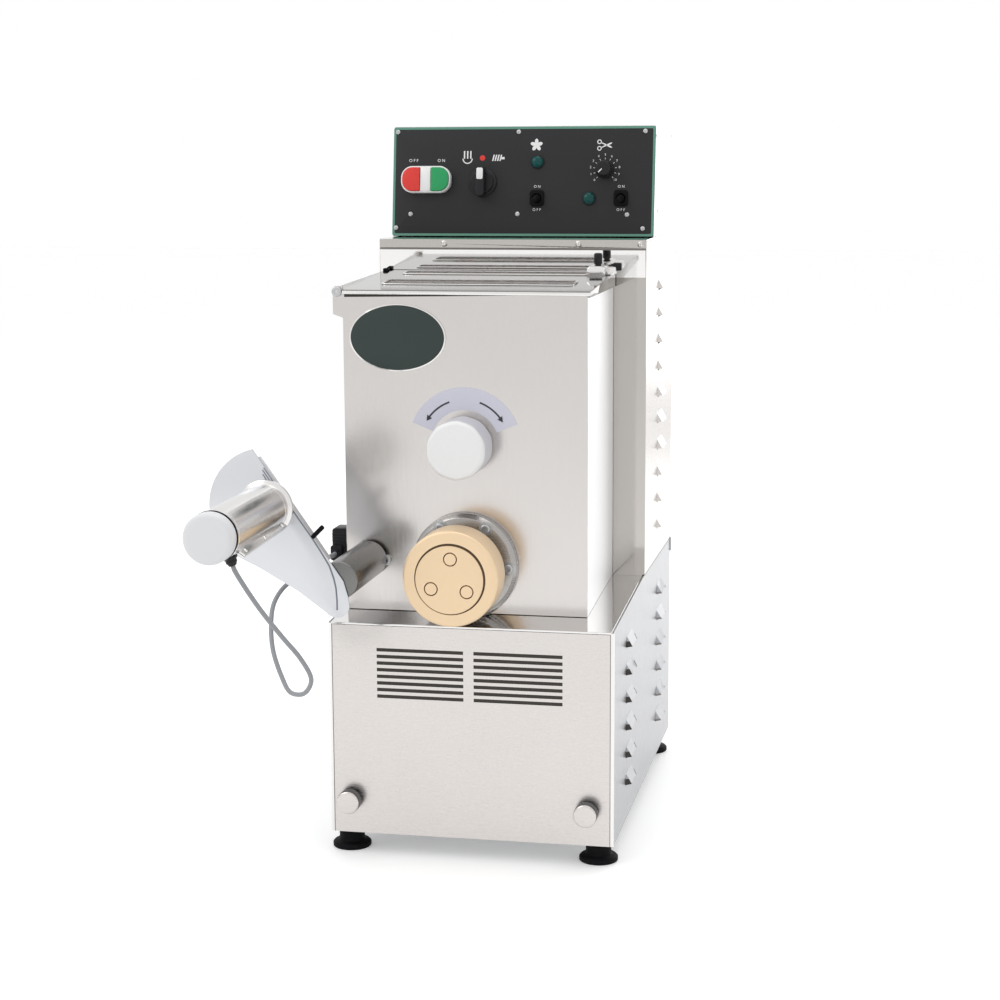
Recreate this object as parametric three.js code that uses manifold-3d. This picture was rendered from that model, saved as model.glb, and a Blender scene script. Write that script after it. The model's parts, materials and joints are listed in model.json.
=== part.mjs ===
// Electric pasta maker for the bench: a sheet-steel base and tower, a tub with a mixing shaft,
// an auger that presses the dough through a die, and a cutter on an arm that swings over the die.
// Millimetres. X points right, Y points back, Z points up. While the pieces are made, X 0 is the
// middle of the base, Y 0 is its front face and Z 0 is the surface that it stands on.

import * as THREE from 'three';
import { ConvexGeometry } from 'three/addons/geometries/ConvexGeometry.js';
import { mergeVertices } from 'three/addons/utils/BufferGeometryUtils.js';
import Module from 'manifold-3d';

const wasm = await Module();
wasm.setup();

// Casing
const SHEET = 2;
const GAP = 0.3;
const HALF_WIDTH = 140;
const INNER_HALF = HALF_WIDTH - SHEET - GAP;
const FOOT_HEIGHT = 28;
const FLOOR_Z = 6.5;
const BACK_Y = 437.4;
const DECK_FRONT_Z = 238.8;
const DECK_BACK_Z = 250.5;
const SEAM_Z = 250.7;
const TOWER_Y = 217.7;
const LEDGE_Z = 598.4;
const LEDGE_LIP_Z = 589;
const BOX_TOP_Z = 713.5;
const FEET = [[-126, 24], [122, 24], [-121, 413], [122, 413]];
const THUMB_Z = 62;
const THUMB_KNOBS = [{ name: 'thumb_knob_left', x: -119.5 }, { name: 'thumb_knob_right', x: 114.5 }];
const MAINS = { x: 92, z: 84 };

// Control panel: a plate that leans back on the front of the control box. Its controls are placed by
// X and by the distance up the plate.
const PANEL_FOOT = { y: 271.4, z: 598.7 };
const PANEL_HEIGHT = 115.7;
const PANEL_LEAN = 7.65;
const BUTTONS = { z: 59.4, stop: -117.8, start: -87.8, lamp: -102.6, half: [8.7, 10.9], round: 7 };
const SELECTOR = [-42.5, 57];
const SPEED = [87.5, 70.2];
const TOGGLES = [{ name: 'fan_toggle', at: [16, 40.1] }, { name: 'cutter_toggle', at: [105, 40.1] }];
const LAMPS = [{ name: 'fan_lamp', at: [15.7, 78.2] }, { name: 'cutter_lamp', at: [71.3, 40.1] }];
const TOGGLE_TILT = 12;

// Ventilation
const SLOT = { height: 3.4, pitch: 6.6, topZ: 213, rows: 8, spans: [[-92, -6.3], [3.8, 90.5]] };
const LOUVRE = { half: 22, rise: 11, out: 5.5 };
const LOUVRES_LOW = [
  { y: 104.5, topZ: 205.4, pitch: 28.1, rows: 6 },
  { y: 340, topZ: 210, pitch: 28.6, rows: 6 },
];
const LOUVRES_HIGH = [{ y: 334, topZ: 542.8, pitch: 28.7, rows: 10 }];

// Tub
const TUB = { left: -133.7, right: 106.5, front: 48.8, back: 215.7, top: 556 };
const TROUGH = { radius: 91, topHalf: 114, flareZ: 500, front: 58, back: 208 };
const FEED = { half: 18, front: 73, back: 147 };
const MIX_AXIS = [-13.6, 408];
const MIXER_SHAFT = 8.5;
const LID_AXIS = [-139, 555];
const LID = { left: -133.3, right: 108.6, front: 46.3, back: 214, top: 562, low: 551, sheet: 1.5 };
const LID_SLOTS = { left: -104, right: 84, width: 21, middles: [110, 188] };

// Extruder
const DIE_AXIS = [-13.6, 289.5];
const BORE = 24;
const AUGER = { radius: 23.3, core: 8, shaft: 10, pitch: 38, thick: 3.5, stepsPerTurn: 8 };
const BARREL_RADIUS = 29;
const THREAD_RADIUS = 38;
const NECK_RADIUS = 37;
const FLANGE = { radius: 52.5, front: 37, bolts: 6, pitchRadius: 45 };
const NUT = { radius: 46.3, front: -23, back: 14, mouth: 34.5 };
const DIE = { rings: 3, ringRadius: 20, inner: 5.5, outer: 6.8, firstAngle: 87 };

// Drive: module 3 gears, belt and motor
const GEAR = { module: 3, pressure: 20, backlash: 0.25, front: 232, back: 262 };
const AUGER_TEETH = 26;
const MIXER_TEETH = 53;
const MOTOR_AXIS = [-13.6, 130];
const GEARBOX_AXIS = [-13.6, 330];
const PULLEY = { front: 372, back: 390, motor: 20, gearbox: 50, belt: 3 };
const BLOWER_AXIS = [62, 190];
const BLOWER = { left: -92, right: 90, radius: 24, blades: 8 };

// Cutter: an arm on a pin beside the die. Its own X axis runs from the pin to the motor.
const ARM_AXIS = [-109.5, 294];
const ARM_ANGLE = 135.1;
const ARM_RADIUS = 96;
const CUTTER = { motor: 22.7, cap: 23, plateFront: -70, motorFront: -225, capFront: -239 };
const MOTOR_AT = [ARM_RADIUS, 0];
const GUARD_RADIUS = 56;
const CHORD = { motorEnd: [143, -30], pinEnd: [-3.5, -3.7] };
const KNIFE = { radius: 31, front: -26.2, back: -24.2 };

// Cord from the cutter motor's gland to the plug on the tub's left wall
const CORD_RADIUS = 2.2;
const CORD_SIDES = 8;
const CORD_STEPS = 36;
const GLAND_DIRECTION = [0.317, -0.948];
const GLAND_REACH = 31.2;
const GLAND_Y = -200;
const PLUG = { x: -143.5, z: 298, front: 40 };
const CORD_ROUTE = [
  [-157, -193, 308], [-146.9, -185, 288.3], [-134.4, -165, 260.7], [-123.5, -150, 239.2],
  [-118.1, -135, 217.2], [-122.3, -128, 205.9], [-131, -121.5, 197.9], [-144.8, -114, 197.5],
  [-156.2, -104, 210.6], [-167.2, -92, 231.1], [-173, -78, 252], [-174.6, -64, 268],
  [-171, -50, 279], [-163.5, -30, 287], [-152.5, -2, 294], [-145.5, 22, 297.6],
];

const FINISH = {
  polished: { color: 0xc9c4bf, metalness: 0.9, roughness: 0.18 },
  brushed: { color: 0xbdb9b4, metalness: 0.85, roughness: 0.38 },
  bright: { color: 0xd9dadb, metalness: 0.95, roughness: 0.12 },
  grey: { color: 0x8c9092, metalness: 0.6, roughness: 0.45 },
  bronze: { color: 0xc6b594, metalness: 0.85, roughness: 0.32 },
  steel: { color: 0x9a9c9e, metalness: 0.8, roughness: 0.4 },
  white: { color: 0xf0efec, metalness: 0, roughness: 0.35 },
  black: { color: 0x1b1b1c, metalness: 0, roughness: 0.5 },
  rubber: { color: 0x131313, metalness: 0, roughness: 0.85 },
  panel: { color: 0x17191b, metalness: 0, roughness: 0.45 },
  red: { color: 0xc22a25, metalness: 0, roughness: 0.35 },
  green: { color: 0x2f9a4a, metalness: 0, roughness: 0.35 },
  teal: { color: 0x2c8f86, metalness: 0, roughness: 0.2 },
  cord: { color: 0xa2a3a4, metalness: 0, roughness: 0.6 },
  board: { color: 0x2b6b45, metalness: 0, roughness: 0.6 },
};

// Outlines: lists of [a, b] points

function arc([a, b], radius, from, to, steps) {
  return Array.from({ length: steps + 1 }, (_, i) => {
    const angle = THREE.MathUtils.degToRad(from + (to - from) * i / steps);
    return [a + radius * Math.cos(angle), b + radius * Math.sin(angle)];
  });
}

const circle = (centre, radius, sides = 12) => arc(centre, radius, 0, 360, sides).slice(0, -1);

const rectangle = ([a0, a1], [b0, b1]) => [[a0, b0], [a1, b0], [a1, b1], [a0, b1]];

function roundedBox([a0, a1], [b0, b1], r, steps = 3) {
  return [
    ...arc([a1 - r, b0 + r], r, -90, 0, steps), ...arc([a1 - r, b1 - r], r, 0, 90, steps),
    ...arc([a0 + r, b1 - r], r, 90, 180, steps), ...arc([a0 + r, b0 + r], r, 180, 270, steps),
  ];
}

const outlineShape = (points) => new THREE.Shape(points.map(([a, b]) => new THREE.Vector2(a, b)));

// Solids

// A closed geometry as a solid that can be joined and cut, with its faces turned outward.
function solid(geometry) {
  geometry.deleteAttribute('normal');
  geometry.deleteAttribute('uv');
  const merged = mergeVertices(geometry, 1e-4);
  const position = merged.getAttribute('position');
  const corner = (i) => new THREE.Vector3().fromBufferAttribute(position, i);
  const triangles = [];
  let volume = 0;
  for (let i = 0; i < merged.index.count; i += 3) {
    const [a, b, c] = [0, 1, 2].map((k) => merged.index.getX(i + k));
    if (a === b || b === c || c === a) continue;
    triangles.push([a, b, c]);
    volume += corner(a).dot(corner(b).cross(corner(c)));
  }
  const ordered = volume > 0 ? triangles : triangles.map(([a, b, c]) => [a, c, b]);
  return new wasm.Manifold(new wasm.Mesh({
    numProp: 3,
    vertProperties: new Float32Array(position.array),
    triVerts: new Uint32Array(ordered.flat()),
  }));
}

const join = (...bodies) => bodies.reduce((all, body) => all.add(body));
const cut = (body, ...tools) => tools.reduce((rest, tool) => rest.subtract(tool), body);

function block([x0, x1], [y0, y1], [z0, z1]) {
  const box = new THREE.BoxGeometry(x1 - x0, y1 - y0, z1 - z0);
  return solid(box.translate((x0 + x1) / 2, (y0 + y1) / 2, (z0 + z1) / 2));
}

// Turns a geometry made round the Y axis so that it stands on the named axis at [a, b].
function stand(geometry, axis, [a, b]) {
  if (axis === 'x') return geometry.rotateZ(-Math.PI / 2).translate(0, a, b);
  if (axis === 'z') return geometry.rotateX(Math.PI / 2).translate(a, b, 0);
  return geometry.translate(a, 0, b);
}

function rod(axis, centre, radius, [from, to], sides = 10) {
  const cylinder = new THREE.CylinderGeometry(radius, radius, to - from, sides);
  return solid(stand(cylinder.translate(0, (from + to) / 2, 0), axis, centre));
}

// A revolved body: profile points are [radius, distance along the axis].
function turned(axis, centre, profile, sides = 14) {
  const points = profile.map(([radius, along]) => new THREE.Vector2(radius, along));
  return solid(stand(new THREE.LatheGeometry(points, sides), axis, centre));
}

const ring = (axis, centre, [inner, outer], [from, to], sides = 12) => turned(
  axis, centre, [[inner, from], [outer, from], [outer, to], [inner, to], [inner, from]], sides);

// A flat outline made thick along an axis: [y, z] on x, [x, z] on y and [x, y] on z.
function prism(axis, outline, [from, to], holes = []) {
  const thick = { depth: to - from, bevelEnabled: false };
  const geometry = new THREE.ExtrudeGeometry(outlineShape(outline), thick);
  const turn = new THREE.Matrix4();
  const [x, y, z] = [[1, 0, 0], [0, 1, 0], [0, 0, 1]].map((v) => new THREE.Vector3(...v));
  if (axis === 'x') geometry.applyMatrix4(turn.makeBasis(y, z, x)).translate(from, 0, 0);
  if (axis === 'y') geometry.applyMatrix4(turn.makeBasis(x, z, y.negate())).translate(0, to, 0);
  if (axis === 'z') geometry.translate(0, 0, from);
  return cut(solid(geometry), ...holes.map((hole) => prism(axis, hole, [from - 1, to + 1])));
}

const hull = (points) => solid(new ConvexGeometry(points.map((p) => new THREE.Vector3(...p))));

function piece(name, body, finish) {
  const made = body.getMesh();
  const geometry = new THREE.BufferGeometry();
  geometry.setAttribute('position', new THREE.BufferAttribute(new Float32Array(made.vertProperties), 3));
  geometry.setIndex(new THREE.BufferAttribute(new Uint32Array(made.triVerts), 1));
  const material = new THREE.MeshStandardMaterial({ ...FINISH[finish], flatShading: true });
  const mesh = new THREE.Mesh(geometry, material);
  mesh.name = name;
  return mesh;
}

// The same stretch of X on the right side (1) or the left side (-1)
const span = (side, near, far) => (side > 0 ? [near, far] : [-far, -near]);

const deckZ = (y) => DECK_FRONT_Z + (DECK_BACK_Z - DECK_FRONT_Z) * y / TOWER_Y;

// Casing

// A pressed louvre: a hood that stands out of the sheet and is open along its lower edge.
function louvres(side, columns) {
  const hoods = [];
  const mouths = [];
  const hood = (y, z, half, out, rise, low, root) => hull([
    [side * root, y - half, z - low], [side * root, y + half, z - low],
    [side * root, y - half + 4, z + rise], [side * root, y + half - 4, z + rise],
    [side * (HALF_WIDTH + out), y - half + 5, z - low], [side * (HALF_WIDTH + out), y + half - 5, z - low],
  ]);
  for (const { y, topZ, pitch, rows } of columns) {
    for (let row = 0; row < rows; row++) {
      const z = topZ - row * pitch;
      hoods.push(hood(y, z, LOUVRE.half, LOUVRE.out, LOUVRE.rise, 0, HALF_WIDTH - 1));
      mouths.push(hood(y, z, LOUVRE.half - 1.8, LOUVRE.out - 1.6, LOUVRE.rise - 2.4, 2, HALF_WIDTH - 3));
    }
  }
  return { hoods, mouths };
}

function sidePanel(side) {
  const outline = [[0, FOOT_HEIGHT], [BACK_Y, FOOT_HEIGHT], [BACK_Y, SEAM_Z], [TOWER_Y, SEAM_Z],
    [0, DECK_FRONT_Z]];
  const sheet = prism('x', outline, span(side, HALF_WIDTH - SHEET, HALF_WIDTH));
  const returnEdge = block(span(side, HALF_WIDTH - 3.5, HALF_WIDTH - 1), [0, SHEET],
    [FOOT_HEIGHT, DECK_FRONT_Z - SHEET - GAP]);
  const { hoods, mouths } = louvres(side, LOUVRES_LOW);
  return cut(join(sheet, returnEdge, ...hoods), ...mouths);
}

function upperSide(side) {
  const sheet = block(span(side, HALF_WIDTH - SHEET, HALF_WIDTH), [TOWER_Y + SHEET + GAP, BACK_Y],
    [SEAM_Z + GAP, LEDGE_Z - SHEET - GAP]);
  const { hoods, mouths } = louvres(side, LOUVRES_HIGH);
  return cut(join(sheet, ...hoods), ...mouths);
}

function frontPanel() {
  const half = HALF_WIDTH - 3.5 - GAP;
  const slots = [];
  for (let row = 0; row < SLOT.rows; row++) {
    const z = SLOT.topZ - row * SLOT.pitch;
    for (const reach of SLOT.spans) slots.push(rectangle(reach, [z - SLOT.height / 2, z + SLOT.height / 2]));
  }
  const outline = rectangle([-half, half], [FOOT_HEIGHT, DECK_FRONT_Z - SHEET - GAP]);
  const studHoles = THUMB_KNOBS.map(({ x }) => circle([x, THUMB_Z], 3.4, 12));
  return prism('y', outline, [0, SHEET], [...slots, ...studHoles]);
}

// The chassis tray has turned-up edges that the side panels are screwed to.
function baseTray() {
  const floor = block([-INNER_HALF, INNER_HALF], [SHEET + GAP, BACK_Y - SHEET - GAP],
    [FOOT_HEIGHT, FOOT_HEIGHT + SHEET]);
  const edges = [1, -1].map((side) => block(span(side, INNER_HALF - SHEET, INNER_HALF),
    [SHEET + GAP, TOWER_Y - GAP], [FOOT_HEIGHT, FOOT_HEIGHT + 18]));
  return join(floor, ...edges);
}

function baseDeck() {
  const outline = [[0, DECK_FRONT_Z - SHEET], [TOWER_Y - GAP, deckZ(TOWER_Y - GAP) - SHEET],
    [TOWER_Y - GAP, deckZ(TOWER_Y - GAP)], [0, DECK_FRONT_Z]];
  return prism('x', outline, [-INNER_HALF, INNER_HALF]);
}

function backPanel() {
  const vents = [];
  for (let row = 0; row < 6; row++) {
    for (const x of [-70, 10]) vents.push(rectangle([x, x + 60], [500 + row * 12, 504 + row * 12]));
  }
  const inlet = rectangle([MAINS.x - 14.3, MAINS.x + 14.3], [MAINS.z - 11.3, MAINS.z + 11.3]);
  return prism('y', rectangle([-INNER_HALF, INNER_HALF], [FOOT_HEIGHT, LEDGE_Z - SHEET - GAP]),
    [BACK_Y - SHEET, BACK_Y], [...vents, inlet]);
}

// The bulkhead stands from the tray to the ledge and carries both shaft bearings.
function towerFront() {
  const wide = HALF_WIDTH;
  const low = FOOT_HEIGHT + SHEET + GAP;
  const seam = SEAM_Z + GAP;
  const outline = [[-INNER_HALF, low], [INNER_HALF, low], [INNER_HALF, seam], [wide, seam],
    [wide, LEDGE_LIP_Z - GAP], [-wide, LEDGE_LIP_Z - GAP], [-wide, seam], [-INNER_HALF, seam]];
  const augerHole = AUGER.shaft + 1;
  const mixerHole = MIXER_SHAFT + 1;
  const sheet = prism('y', outline, [TOWER_Y, TOWER_Y + SHEET],
    [circle(DIE_AXIS, augerHole), circle(MIX_AXIS, mixerHole), circle([-90, 110], 9, 12)]);
  return join(sheet,
    ring('y', DIE_AXIS, [augerHole, 20], [TOWER_Y + 1, TOWER_Y + 10]),
    ring('y', MIX_AXIS, [mixerHole, 19], [TOWER_Y + 1, TOWER_Y + 10]));
}

function towerTop() {
  const plate = prism('z', rectangle([-HALF_WIDTH, HALF_WIDTH], [TOWER_Y, BACK_Y]),
    [LEDGE_Z - SHEET, LEDGE_Z], [circle([-60, 340], 12, 16)]);
  const lip = block([-HALF_WIDTH, HALF_WIDTH], [TOWER_Y, TOWER_Y + SHEET], [LEDGE_LIP_Z, LEDGE_Z - 1]);
  const screws = [-71, 70, 134].map((x) => rod('y', [x, 593.6], 3, [TOWER_Y - 1.4, TOWER_Y + 0.5], 8));
  return join(plate, lip, ...screws);
}

function controlBox() {
  const lean = Math.tan(THREE.MathUtils.degToRad(PANEL_LEAN));
  const front = PANEL_FOOT.y + SHEET + 0.4;
  const low = LEDGE_Z + GAP;
  const outline = [[front, low], [BACK_Y, low], [BACK_Y, BOX_TOP_Z],
    [front + lean * (BOX_TOP_Z - low), BOX_TOP_Z]];
  const inside = block([SHEET - HALF_WIDTH, HALF_WIDTH - SHEET], [front - 20, BACK_Y - SHEET],
    [low - 10, BOX_TOP_Z - SHEET]);
  const holes = [304, 360, 420].map((y) => rod('x', [y, 625], 3, [HALF_WIDTH - 4, HALF_WIDTH + 2], 10));
  return cut(prism('x', outline, [-HALF_WIDTH, HALF_WIDTH]), inside, ...holes);
}

const foot = () => turned('z', [0, 0], [[0, FLOOR_Z], [18, FLOOR_Z], [19, FLOOR_Z + 1], [19, FLOOR_Z + 4.5],
  [17.5, FLOOR_Z + 6], [12.5, FLOOR_Z + 7], [12.5, FOOT_HEIGHT - GAP], [0, FOOT_HEIGHT - GAP]], 12);

const thumbKnob = () => turned('y', [0, 0], [[0, -16.3], [10, -16.3], [11.5, -15.2], [11.5, -5.2], [10.4, -4],
  [7, -3.6], [7, -GAP], [3, -GAP], [3, 11], [0, 11]], 12);

// Drive inside the casing

function gearOutline(centre, teeth, firstAngle) {
  const pitch = GEAR.module * teeth / 2;
  const pressure = THREE.MathUtils.degToRad(GEAR.pressure);
  const base = pitch * Math.cos(pressure);
  const involute = (angle) => Math.tan(angle) - angle;
  const halfAngle = (radius) => {
    const atRadius = radius > base ? involute(Math.acos(base / radius)) : 0;
    return Math.PI / 2 / teeth - GEAR.backlash / 2 / pitch + involute(pressure) - atRadius;
  };
  const levels = [pitch - 1.25 * GEAR.module, pitch + GEAR.module];
  const points = [];
  for (let tooth = 0; tooth < teeth; tooth++) {
    const middle = firstAngle + 2 * Math.PI * tooth / teeth;
    const flank = (radius, side) => {
      const angle = middle + side * halfAngle(radius);
      return [centre[0] + radius * Math.cos(angle), centre[1] + radius * Math.sin(angle)];
    };
    points.push(...levels.map((r) => flank(r, -1)), ...levels.toReversed().map((r) => flank(r, 1)));
  }
  return points;
}

// The auger gear has a tooth on top, and the mixer gear a space at the bottom.
const augerGear = () => prism('y', gearOutline(DIE_AXIS, AUGER_TEETH, Math.PI / 2),
  [GEAR.front, GEAR.back], [circle(DIE_AXIS, AUGER.shaft + GAP, 16)]);

function mixerGear() {
  const wheel = prism('y', gearOutline(MIX_AXIS, MIXER_TEETH, Math.PI / MIXER_TEETH - Math.PI / 2),
    [GEAR.front + 4, GEAR.back - 4], [circle(MIX_AXIS, MIXER_SHAFT + GAP)]);
  return join(wheel, ring('y', MIX_AXIS, [MIXER_SHAFT + GAP, 20], [GEAR.front, GEAR.back]));
}

// The auger's thread: a bar of four corners led round the shaft.
function screwThread() {
  const front = -7;
  const back = 198;
  const steps = Math.round((back - front) / AUGER.pitch * AUGER.stepsPerTurn);
  const corners = [[AUGER.core - 1, 0], [AUGER.radius, 0], [AUGER.radius, AUGER.thick],
    [AUGER.core - 1, AUGER.thick]];
  const positions = [];
  for (let step = 0; step <= steps; step++) {
    const angle = 2 * Math.PI * step / AUGER.stepsPerTurn;
    const y = front + (back - front - AUGER.thick) * step / steps;
    for (const [radius, along] of corners) {
      positions.push(radius * Math.cos(angle), y + along, radius * Math.sin(angle));
    }
  }
  const index = [0, 1, 2, 0, 2, 3];
  for (let step = 0; step < steps; step++) {
    for (let side = 0; side < 4; side++) {
      const [a, b] = [4 * step + side, 4 * step + (side + 1) % 4];
      index.push(a, a + 4, b, b, a + 4, b + 4);
    }
  }
  const last = 4 * steps;
  index.push(last, last + 2, last + 1, last, last + 3, last + 2);
  const geometry = new THREE.BufferGeometry();
  geometry.setAttribute('position', new THREE.Float32BufferAttribute(positions, 3));
  geometry.setIndex(index);
  return solid(geometry.translate(DIE_AXIS[0], 0, DIE_AXIS[1]));
}

const augerScrew = () => join(
  turned('y', DIE_AXIS, [[0, -9], [AUGER.core - 3, -8.5], [AUGER.core, -4], [AUGER.core, 199],
    [AUGER.shaft, 200], [AUGER.shaft, 268], [0, 268]], AUGER.stepsPerTurn),
  screwThread());

// Five paddles, each turned out of line so that it pushes the dough along the trough.
function mixerShaft() {
  const paddle = (index) => {
    const blade = new THREE.BoxGeometry(78, 24, 5);
    blade.translate(46, 0, 0).rotateX(THREE.MathUtils.degToRad(30));
    blade.rotateY(THREE.MathUtils.degToRad(144 * index)).translate(MIX_AXIS[0], 82 + 27 * index, MIX_AXIS[1]);
    return solid(blade);
  };
  return join(rod('y', MIX_AXIS, MIXER_SHAFT, [66, 266], 12), ...[0, 1, 2, 3, 4].map(paddle));
}

function gearbox() {
  const x = DIE_AXIS[0];
  const plate = block([x - 64, x + 64], [266, 271], [244, 326]);
  const posts = [[-58, 252], [58, 252], [-58, 318], [58, 318]].map(([dx, z]) => rod('y', [x + dx, z], 6,
    [TOWER_Y + SHEET + GAP, 267], 8));
  const casing = prism('y', roundedBox([x - 47, x + 47], [246, 378], 14, 2), [270.5, 350]);
  const boss = ring('y', GEARBOX_AXIS, [10.6, 20], [345, 360]);
  return cut(join(plate, casing, boss, ...posts),
    rod('y', GEARBOX_AXIS, 10.8, [334, 365]), rod('y', DIE_AXIS, AUGER.shaft + 1, [260, 276]));
}

function driveMotor() {
  const shell = turned('y', MOTOR_AXIS, [[0, 226], [40, 226], [54, 232], [60, 240], [60, 336], [54, 344],
    [24, 350], [24, 356], [8.3, 356], [8.3, 342], [0, 342]]);
  const feet = [244, 316].map((y) => block([MOTOR_AXIS[0] - 46, MOTOR_AXIS[0] + 46], [y, y + 16],
    [FOOT_HEIGHT + SHEET + GAP, 96]));
  const terminals = block([MOTOR_AXIS[0] - 24, MOTOR_AXIS[0] + 24], [262, 312], [184, 204]);
  return join(shell, ...feet, terminals);
}

// A belt pulley with its shaft end: the belt runs between two rims.
function pulley(centre, radius, shaft, shaftFront) {
  const rim = radius + 2;
  const groove = radius - PULLEY.belt;
  const { front, back } = PULLEY;
  return turned('y', centre, [[0, shaftFront], [shaft, shaftFront], [shaft, front], [rim, front],
    [rim, front + 2], [groove, front + 3], [groove, back - 3], [rim, back - 2], [rim, back], [0, back]], 12);
}

function driveBelt() {
  const distance = GEARBOX_AXIS[1] - MOTOR_AXIS[1];
  const loop = (offset) => {
    const [small, large] = [PULLEY.motor, PULLEY.gearbox].map((r) => r - PULLEY.belt + offset);
    const lean = THREE.MathUtils.radToDeg(Math.asin((large - small) / distance));
    return [...arc(GEARBOX_AXIS, large, -lean, 180 + lean, 14),
      ...arc(MOTOR_AXIS, small, 180 + lean, 360 - lean, 8)];
  };
  return prism('y', loop(PULLEY.belt), [PULLEY.front + 3.6, PULLEY.back - 3.6], [loop(0.6)]);
}

// The cooling blower lies behind the grille: a long wheel in a scroll that blows out to the front.
function blowerHousing() {
  const [y, z] = BLOWER_AXIS;
  const reach = [BLOWER.left + 1, BLOWER.right + 1];
  const scroll = [...arc([y, z], 28, -100, 55, 9), ...arc([y, z], 30, 55, -100, 9), [3, 161], [3, 162.5]];
  const tongue = [[3, 217.5], [3, 219], [42, 215.5], [40, 213]];
  const cheek = (from) => prism('x', [[3, 161], [36, 150], [36, FOOT_HEIGHT + SHEET + GAP],
    [88, FOOT_HEIGHT + SHEET + GAP], [93, 165], [93, 200], [80, 219], [3, 219]], [from, from + SHEET],
    [circle([y, z], 3.4, 10)]);
  const motor = ring('x', [y, z], [3.4, 24], [BLOWER.right + 1, BLOWER.right + 34], 14);
  return join(prism('x', scroll, reach), prism('x', tongue, reach), cheek(BLOWER.left),
    cheek(BLOWER.right), motor);
}

function blowerWheel() {
  const [y, z] = BLOWER_AXIS;
  const blades = [];
  for (let i = 0; i < BLOWER.blades; i++) {
    const blade = new THREE.BoxGeometry(172, 1.4, 6.4);
    blade.translate(0, 0, 20.4).rotateX(2 * Math.PI * i / BLOWER.blades).translate(-1, y, z);
    blades.push(solid(blade));
  }
  const disc = (x) => rod('x', [y, z], BLOWER.radius, [x - 1, x + 1]);
  const shaft = rod('x', [y, z], 3, [BLOWER.left - 3, BLOWER.right + 20], 8);
  return join(shaft, disc(-86.5), disc(84.5), ...blades);
}

function controlBoard() {
  const board = block([-110, 110], [330, 332], [612, 694]);
  const parts = [[-96, -70, 624, 652, 18], [-60, -34, 624, 652, 18], [-20, 10, 630, 680, 30],
    [24, 60, 622, 640, 14], [70, 100, 630, 676, 24]];
  const bodies = parts.map(([x0, x1, z0, z1, deep]) => block([x0, x1], [331.5, 332 + deep], [z0, z1]));
  const posts = [-100, 100].map((x) => block([x - 4, x + 4], [327, 334], [LEDGE_Z + GAP, 616]));
  return join(board, ...bodies, ...posts);
}

function mainsInlet() {
  const { x, z } = MAINS;
  const flange = prism('y', roundedBox([x - 20, x + 20], [z - 15, z + 15], 3), [BACK_Y + GAP, BACK_Y + 3.5]);
  const body = block([x - 14, x + 14], [BACK_Y - 22, BACK_Y + 1], [z - 11, z + 11]);
  const well = prism('y', roundedBox([x - 12, x + 12], [z - 8.5, z + 8.5], 3), [BACK_Y - 15, BACK_Y + 5]);
  const pins = [-7, 0, 7].map((dx) => block([x + dx - 1, x + dx + 1], [BACK_Y - 17, BACK_Y - 1],
    [z - 3, z + 3]));
  return join(cut(join(flange, body), well), ...pins);
}

// Tub

function tubFront() {
  const low = deckZ(TUB.front + SHEET) + GAP;
  const ear = [[TUB.left, 529.4], [TUB.left, TUB.top], [TUB.left + 0.1, 560.4], [-141.5, 560.4],
    [-143.7, 558], [-143.7, 533]];
  const outline = [[TUB.left, low], [TUB.right, low], [TUB.right, TUB.top], [TUB.left, TUB.top]];
  const sheet = prism('y', outline, [TUB.front, TUB.front + SHEET],
    [circle(DIE_AXIS, BARREL_RADIUS + 1, 24), circle(MIX_AXIS, 6.6, 16)]);
  return join(sheet, prism('y', ear, [TUB.front, TUB.front + SHEET]),
    block([TUB.left - 1, TUB.left + 1], [TUB.front, TUB.front + SHEET], [532, 555]),
    rod('y', LID_AXIS, 3, [TUB.front + 1, TUB.back - SHEET - GAP], 12),
    rod('y', LID_AXIS, 4.7, [TUB.front - 3, TUB.front + 1], 12),
    rod('y', [-93, 292], 4.5, [TUB.front - 3.5, TUB.front + 1], 12));
}

function tubJacket() {
  const walls = block([TUB.left, TUB.right], [TUB.front + SHEET + GAP, TUB.back], [DECK_FRONT_Z, TUB.top]);
  const inside = block([TUB.left + SHEET, TUB.right - SHEET], [0, TUB.back - SHEET], [0, TUB.top + 10]);
  const underDeck = prism('x', [[-10, 0], [240, 0], [240, deckZ(240) + GAP], [-10, deckZ(-10) + GAP]],
    [-200, 200]);
  const ear = prism('y', [[TUB.left + 1, 538], [TUB.left + 1, TUB.top], [TUB.left - 2, 560], [-143, 560],
    [-143, 545]], [TUB.back - SHEET, TUB.back]);
  const shafts = [rod('y', DIE_AXIS, BARREL_RADIUS + 1, [200, 230], 24),
    rod('y', MIX_AXIS, 10, [200, 230], 16)];
  return join(cut(walls, inside, underDeck, ...shafts), ear);
}

// Cross-section of the trough: a half-round bottom that opens out into straight sides.
function troughOutline(radius, half, top) {
  const [x, z] = MIX_AXIS;
  const rise = TROUGH.flareZ - z;
  const lean = Math.atan2(rise, half) - Math.acos(radius / Math.hypot(half, rise));
  const tangent = THREE.MathUtils.radToDeg(lean);
  return [[x + half, TROUGH.flareZ], [x + half, top], [x - half, top], [x - half, TROUGH.flareZ],
    ...arc(MIX_AXIS, radius, -180 - tangent, tangent, 22)];
}

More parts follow.
